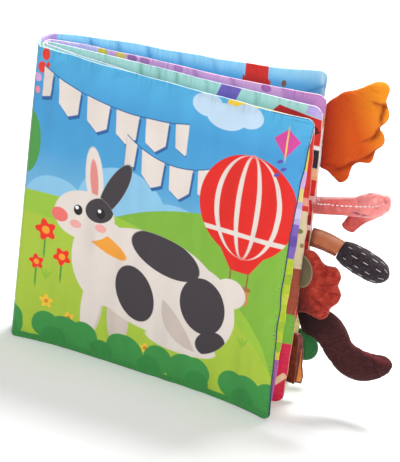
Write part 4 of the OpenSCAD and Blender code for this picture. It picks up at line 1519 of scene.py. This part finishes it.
# Painted light: paler towards the curl and on the thin flange above the stitches; the paler rim is a painted
# highlight.
wash(cloth, "E8837F", 0.05, 0, -1.0)
flange_highlight = cloth.math("MULTIPLY_ADD", cloth.high, -0.5, 6.6, clamp=True)
cloth.paint("F2B2AF", flange_highlight, cloth.math("MULTIPLY_ADD", cloth.high, 0.5, -0.5, clamp=True))
patches(cloth, "EE9D98", 7, 0.55, 0.95)
patches(cloth, "B44540", 5, 0.56, 0.8)
cloth.paint("F6C4C2", rim_mask(cloth, 0.6))
# Painted shade on the leg that curls back behind.
wash(cloth, "BC3C34", 0.12, 0, -8.6)
for place, size in (((33, -17.2), (2.6, 0.9)), ((37.4, -17.4), (1.5, 0.8)), ((43.5, 13.4), (1.5, 0.9))):
    cloth.paint("8E3A56", cloth.oval(place, size))
finish_cloth(cloth, 0.8, 0.1, 0.34, 0.08, gloss=0.55, sheen=0.4)
pink.piece.data.materials.append(cloth.material)
rest_on_leaf(pink.piece, "pink_tail")

steps = np.arange(0.6, 62, 3.3)
seam_x = np.interp(steps, [0, 10, 20, 30, 40, 52, 58, 64], [0, 9.6, 19.5, 29, 39, 49.5, 52.8, 53.4])
seam_z = np.interp(seam_x, [0, 6.8, 17.1, 27.3, 37.4, 49.1, 53.8], [156.2, 158.1, 159.8, 161.4, 163, 165, 167.4])
front = np.stack([seam_x, np.full(len(steps), -9.0), seam_z], -1)
starts, ends = front[:-1], front[:-1] + 0.74 * np.diff(front, axis=0)
white_thread = thread_material("white_thread", "F2ECEA")
starts, ends = pink.root.outward(starts), pink.root.outward(ends)
pink_stitches = sew("pink_stitches", starts, ends, 0.85, white_thread, pink.piece, sink=0)
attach(pink_stitches, MAIN)

# %% [markdown]
# ## The tan tail and its tuft
# A soft suede tube, and at its end a dark knitted tuft with short white stitches set in staggered rows.

# %% The tan tail and its tuft
DROOP = math.radians(19)


def tan_line(far):
    return 21 + far * math.cos(DROOP), 0, 120 - far * math.sin(DROOP)


tan = Tube("tan_tube", "leaf_3", [
    (0, 0, 124, 7, 0.6), (3.2, 0, 123.7, 7, 4.9), (10.5, 0, 122.8, 6.7, 6.3), (*tan_line(-1.7), 6.3, 6.3),
    (*tan_line(0.4), 6.3, 6.3),
], 36, 28)
along = tan.at[tan.ring]
lower_seam = np.exp(-(((np.sin(tan.angle) + 1) / 0.08) ** 2))
sewn = 1 - smoothstep(along, 0.5, 4) + smoothstep(along, 20, 22)
fill_with_fibre(tan.piece, tan.root, sewn, lower_seam, 0.7, 0.2, 1.2)
remember(tan.piece, "rim", lower_seam)
finish_skin(tan.piece)
cloth = Print("tan_suede", "B36845")
# Painted shade darkens the underside and the root by the leaf, a painted highlight runs along the top, and the lower
# seam is darker: its seam line and the shade under the tube.
cloth.paint("8A4430", cloth.math("MULTIPLY_ADD", cloth.high, -0.12, -0.9, clamp=True))
cloth.paint("DFA98C", cloth.crease((4, 12), (22, 12), 5.5, 0.8))
patches(cloth, "C4825F", 7, 0.5, 0.8)
wash(cloth, "94402C", -0.16, 0, 1.0)
cloth.paint("7E3E2A", rim_mask(cloth, 0.7))
furry(cloth, 0.45, 0.15, 0.2, "F4D2B8")
tan.piece.data.materials.append(cloth.material)
rest_on_leaf(tan.piece, "tan_tail")

tuft = Tube("charcoal_tuft", "leaf_3", [
    (*tan_line(0.2), 6.3, 6.3), (*tan_line(2.3), 7.6, 6.7), (*tan_line(9.5), 9, 8.5), (*tan_line(19), 9.5, 8.6),
    (*tan_line(28.5), 8.9, 8.1), (*tan_line(36), 7, 6.4), (*tan_line(38.5), 5.2, 4.8),
], 48, 36, round_end=7)
along = tuft.at[tuft.ring]
side_seam = np.exp(-((np.cos(tuft.angle) / 0.1) ** 2))
fill_with_fibre(tuft.piece, tuft.root, 1 - smoothstep(along, 0.3, 2.5), side_seam, 0.8, 0.1, 1.2)
remember(tuft.piece, "rim", side_seam * smoothstep(along, 25, 38))
finish_skin(tuft.piece)
cloth = Print("charcoal_knit", "2E252B")
patches(cloth, "1D171B", 2.2, 0.45, 0.65, 1.0)
patches(cloth, "463B43", 1.3, 0.6, 0.75, 1.0)
finish_cloth(cloth, 1.3, 0.4, 0.85, 0.1)
tuft.piece.data.materials.append(cloth.material)
rest_on_leaf(tuft.piece, "tan_tail_tuft")

starts, ends = [], []
chance = np.random.default_rng(5)
for row, angle in enumerate(np.arange(0, 360, 30)):
    for step in np.arange(4 + 4.6 * (row % 2), 34, 9.2):
        begin = step + chance.uniform(-0.8, 0.8)
        length = chance.uniform(2.6, 5.0)
        turn = angle + chance.uniform(-4, 4)
        starts.append(tuft.places(np.array([begin]), np.array([turn]))[0])
        ends.append(tuft.places(np.array([begin + length]), np.array([turn]))[0])
tuft_stitches = sew("tuft_stitches", starts, ends, 0.48, thread_material("pale_thread", "CFC8CB"), tuft.piece)
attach(tuft_stitches, MAIN)

# %% [markdown]
# ## The rust tail and its patch
# A red-brown plush tail with scallops. Creases run in from the notches, and a flat khaki oval is sewn to its
# front beside the leaf.

# %% The rust tail and its patch
rust, root = flat_tail("rust_tail", "rust_scallops", "leaf_2", 1.1, shrink=0.17, cap=2)
press_crease(rust, root, [(15.5, 106), (13, 103), (8, 100)], 1.6, 1.4, -0.4)
press_crease(rust, root, [(25.5, 92), (20, 93), (14, 94)], 1.9, 1.5, 0.3)
press_crease(rust, root, [(20.5, 79), (16.5, 82.5), (11, 85)], 1.7, 1.4, 0.3)
press_crease(rust, root, [(6, 73), (5, 79), (4, 85)], 1.2, 1.5, 0.2)
finish_skin(rust)
cloth = Print("rust_plush", "9A2A20")
patches(cloth, "BC4434", 5, 0.42, 0.72)
patches(cloth, "7A1C18", 3.2, 0.52, 0.8)
# Painted shade at the root by the leaves and along the creases; the paler rim is a painted highlight.
wash(cloth, "3E0E0D", -0.07, -0.02, 2.6)
for start, end in (
    ((15.5, 106), (7, 99)), ((25.5, 92), (14, 94)), ((20.5, 79), (11, 86)), ((6, 73), (4, 84)), ((22, 99), (15, 97)),
):
    cloth.paint("5C1210", cloth.crease(start, end, 2.2, 0.5))
cloth.paint("D8857A", rim_mask(cloth, 0.75))
furry(cloth, 0.5, 0.5, 0.25, "F0A090")
rust.data.materials.append(cloth.material)
rest_on_leaf(rust, "rust_tail")

patch = soft_copy("rust_tail_patch", "khaki_patch", 0.55)
local = ROOTS["leaf_2"].inward(points_of(patch))
remember_flat(patch, local)
oval = np.hypot(local[:, 0] / 8.6, (local[:, 2] - 103.5) / 12)
remember(patch, "rim", smoothstep(oval, 0.82, 0.95))
finish_skin(patch)
cloth = Print("khaki_cloth", "6F6048")
wash(cloth, "574A38", 0.0, 0.06, -6.2)
cloth.paint("94876A", rim_mask(cloth, 0.8))
finish_cloth(cloth, 0.9, 0.4, 0.75, 0.15)
patch.data.materials.append(cloth.material)
rest_on_leaf(patch, "rust_tail_patch")

# %% [markdown]
# ## The long brown tail
# Velvet, with a painted red highlight along the top of its bend, sewn along its top and bottom. A small toe
# piece is sewn across near its tip.

# %% The long brown tail
long_tail = Tube("brown_velvet_tail", "leaf_3", [
    (0, 0, 60, 8.4, 0.6), (4.8, 0, 61.5, 10.4, 3.6), (16, 0, 61.6, 12.6, 6), (22.6, 0, 56.8, 12.1, 6.5),
    (26.2, 0, 52, 11.3, 6.6), (29, 0, 47.7, 10.7, 6.6), (33, 0, 43.6, 10.9, 6.6), (38, 0, 40, 11.9, 6.6),
    (45.6, 0, 37.6, 12.1, 6.4), (55.6, 0, 39.6, 10, 5.8), (63, 0, 42.8, 7.4, 4.8), (69, 0, 45.2, 4.6, 3.4),
], 92, 34, round_end=5)
along = long_tail.at[long_tail.ring]
seams = np.exp(-((np.cos(long_tail.angle) / 0.12) ** 2))
toe = np.exp(-(((along - long_tail.at[-1] + 12 + 3 * np.sin(long_tail.angle)) / 1.0) ** 2))
sewn = 1 - smoothstep(along, 0.5, 4)
fill_with_fibre(long_tail.piece, long_tail.root, sewn, np.maximum(seams, toe), 0.9, 0.12, 1.6)
finish_skin(long_tail.piece)
cloth = Print("brown_velvet", "351A1C")
patches(cloth, "442123", 4.5, 0.45, 0.75)
patches(cloth, "602C2E", 0.8, 0.52, 0.75, 1.0)
# Painted shade near the root, and a painted red highlight on the top of the lower bend.
wash(cloth, "180A0C", -0.045, 0, 1.15)
top_line = cloth.math("ABSOLUTE", cloth.math("ADD", cloth.high, -14))
top_highlight = cloth.math("MULTIPLY_ADD", top_line, -0.22, 1, clamp=True)
cloth.paint("8C3A3C", cloth.math("MULTIPLY", top_highlight, 0.6), cloth.crease((46, 14), (70, 14), 14, 1.0))
cloth.paint("210F11", cloth.crease((long_tail.at[-1] - 11, -30), (long_tail.at[-1] - 11, 30), 1.3, 0.8))
furry(cloth, 0.35, 0.35, 0.22, "8E5A52")
long_tail.piece.data.materials.append(cloth.material)
rest_on_leaf(long_tail.piece, "long_brown_tail")

# %% [markdown]
# ## The green tail
# A half oval of felt behind the long tail, on the rearmost leaf.

# %% The green tail
green, root = flat_tail("green_tail", "green_felt_tail", "leaf_4", 0.9, shrink=0.12, cap=1.5)
finish_skin(green)
cloth = Print("green_felt", "2B6637")
patches(cloth, "183F22", 5, 0.5, 0.8)
wash(cloth, "112C17", -0.1, -0.03, 1.4)
cloth.paint("6C9A6A", rim_mask(cloth, 0.45))
furry(cloth, 0.5, 0.4, 0.2, "A0D0A0")
green.data.materials.append(cloth.material)
rest_on_leaf(green, "green_tail")

# %% [markdown]
# ## The folded tail
# Two flaps of maroon satin folded out of one strip, the wider one lined in orange. It is cloth without filling,
# so it is only rippled a little, deepest towards its free foot.

# %% The folded tail
def rippled_copy(node, name, voxel, size):
    piece = soft_copy(node, name, voxel)
    root = ROOTS["leaf_3"]
    points = points_of(piece)
    local = root.inward(points)
    remember_flat(piece, local)
    free = smoothstep(local[:, 0], 0, 4)
    ripple = size * waves(local[:, 0] * 1.2, local[:, 2] * 0.45, 9, 77) * free
    local[:, 1] += ripple
    local[:, 0] += 0.5 * size * waves(local[:, 0] * 0.2, local[:, 2], 14, 78) * free
    move_points(piece, root.outward(local))
    finish_skin(piece)
    return piece


folded = rippled_copy("folded_tail", "folded_satin", 0.6, 0.35)
cloth = Print("maroon_satin", "661C12")
patches(cloth, "88321E", 6, 0.42, 0.7)
patches(cloth, "3E100E", 4, 0.5, 0.75)
finish_cloth(cloth, 0.7, 0.12, 0.4, 0.1, gloss=0.5)
folded.data.materials.append(cloth.material)
rest_on_leaf(folded, "folded_tail")

lining = rippled_copy("folded_tail_lining", "orange_lining", 0.4, 0.35)
cloth = Print("orange_lining", "D47A30")
patches(cloth, "E29044", 6, 0.45, 0.7)
finish_cloth(cloth, 0.7, 0.12, 0.45, 0.1)
lining.data.materials.append(cloth.material)
rest_on_leaf(lining, "folded_tail_lining")
print("tails done")
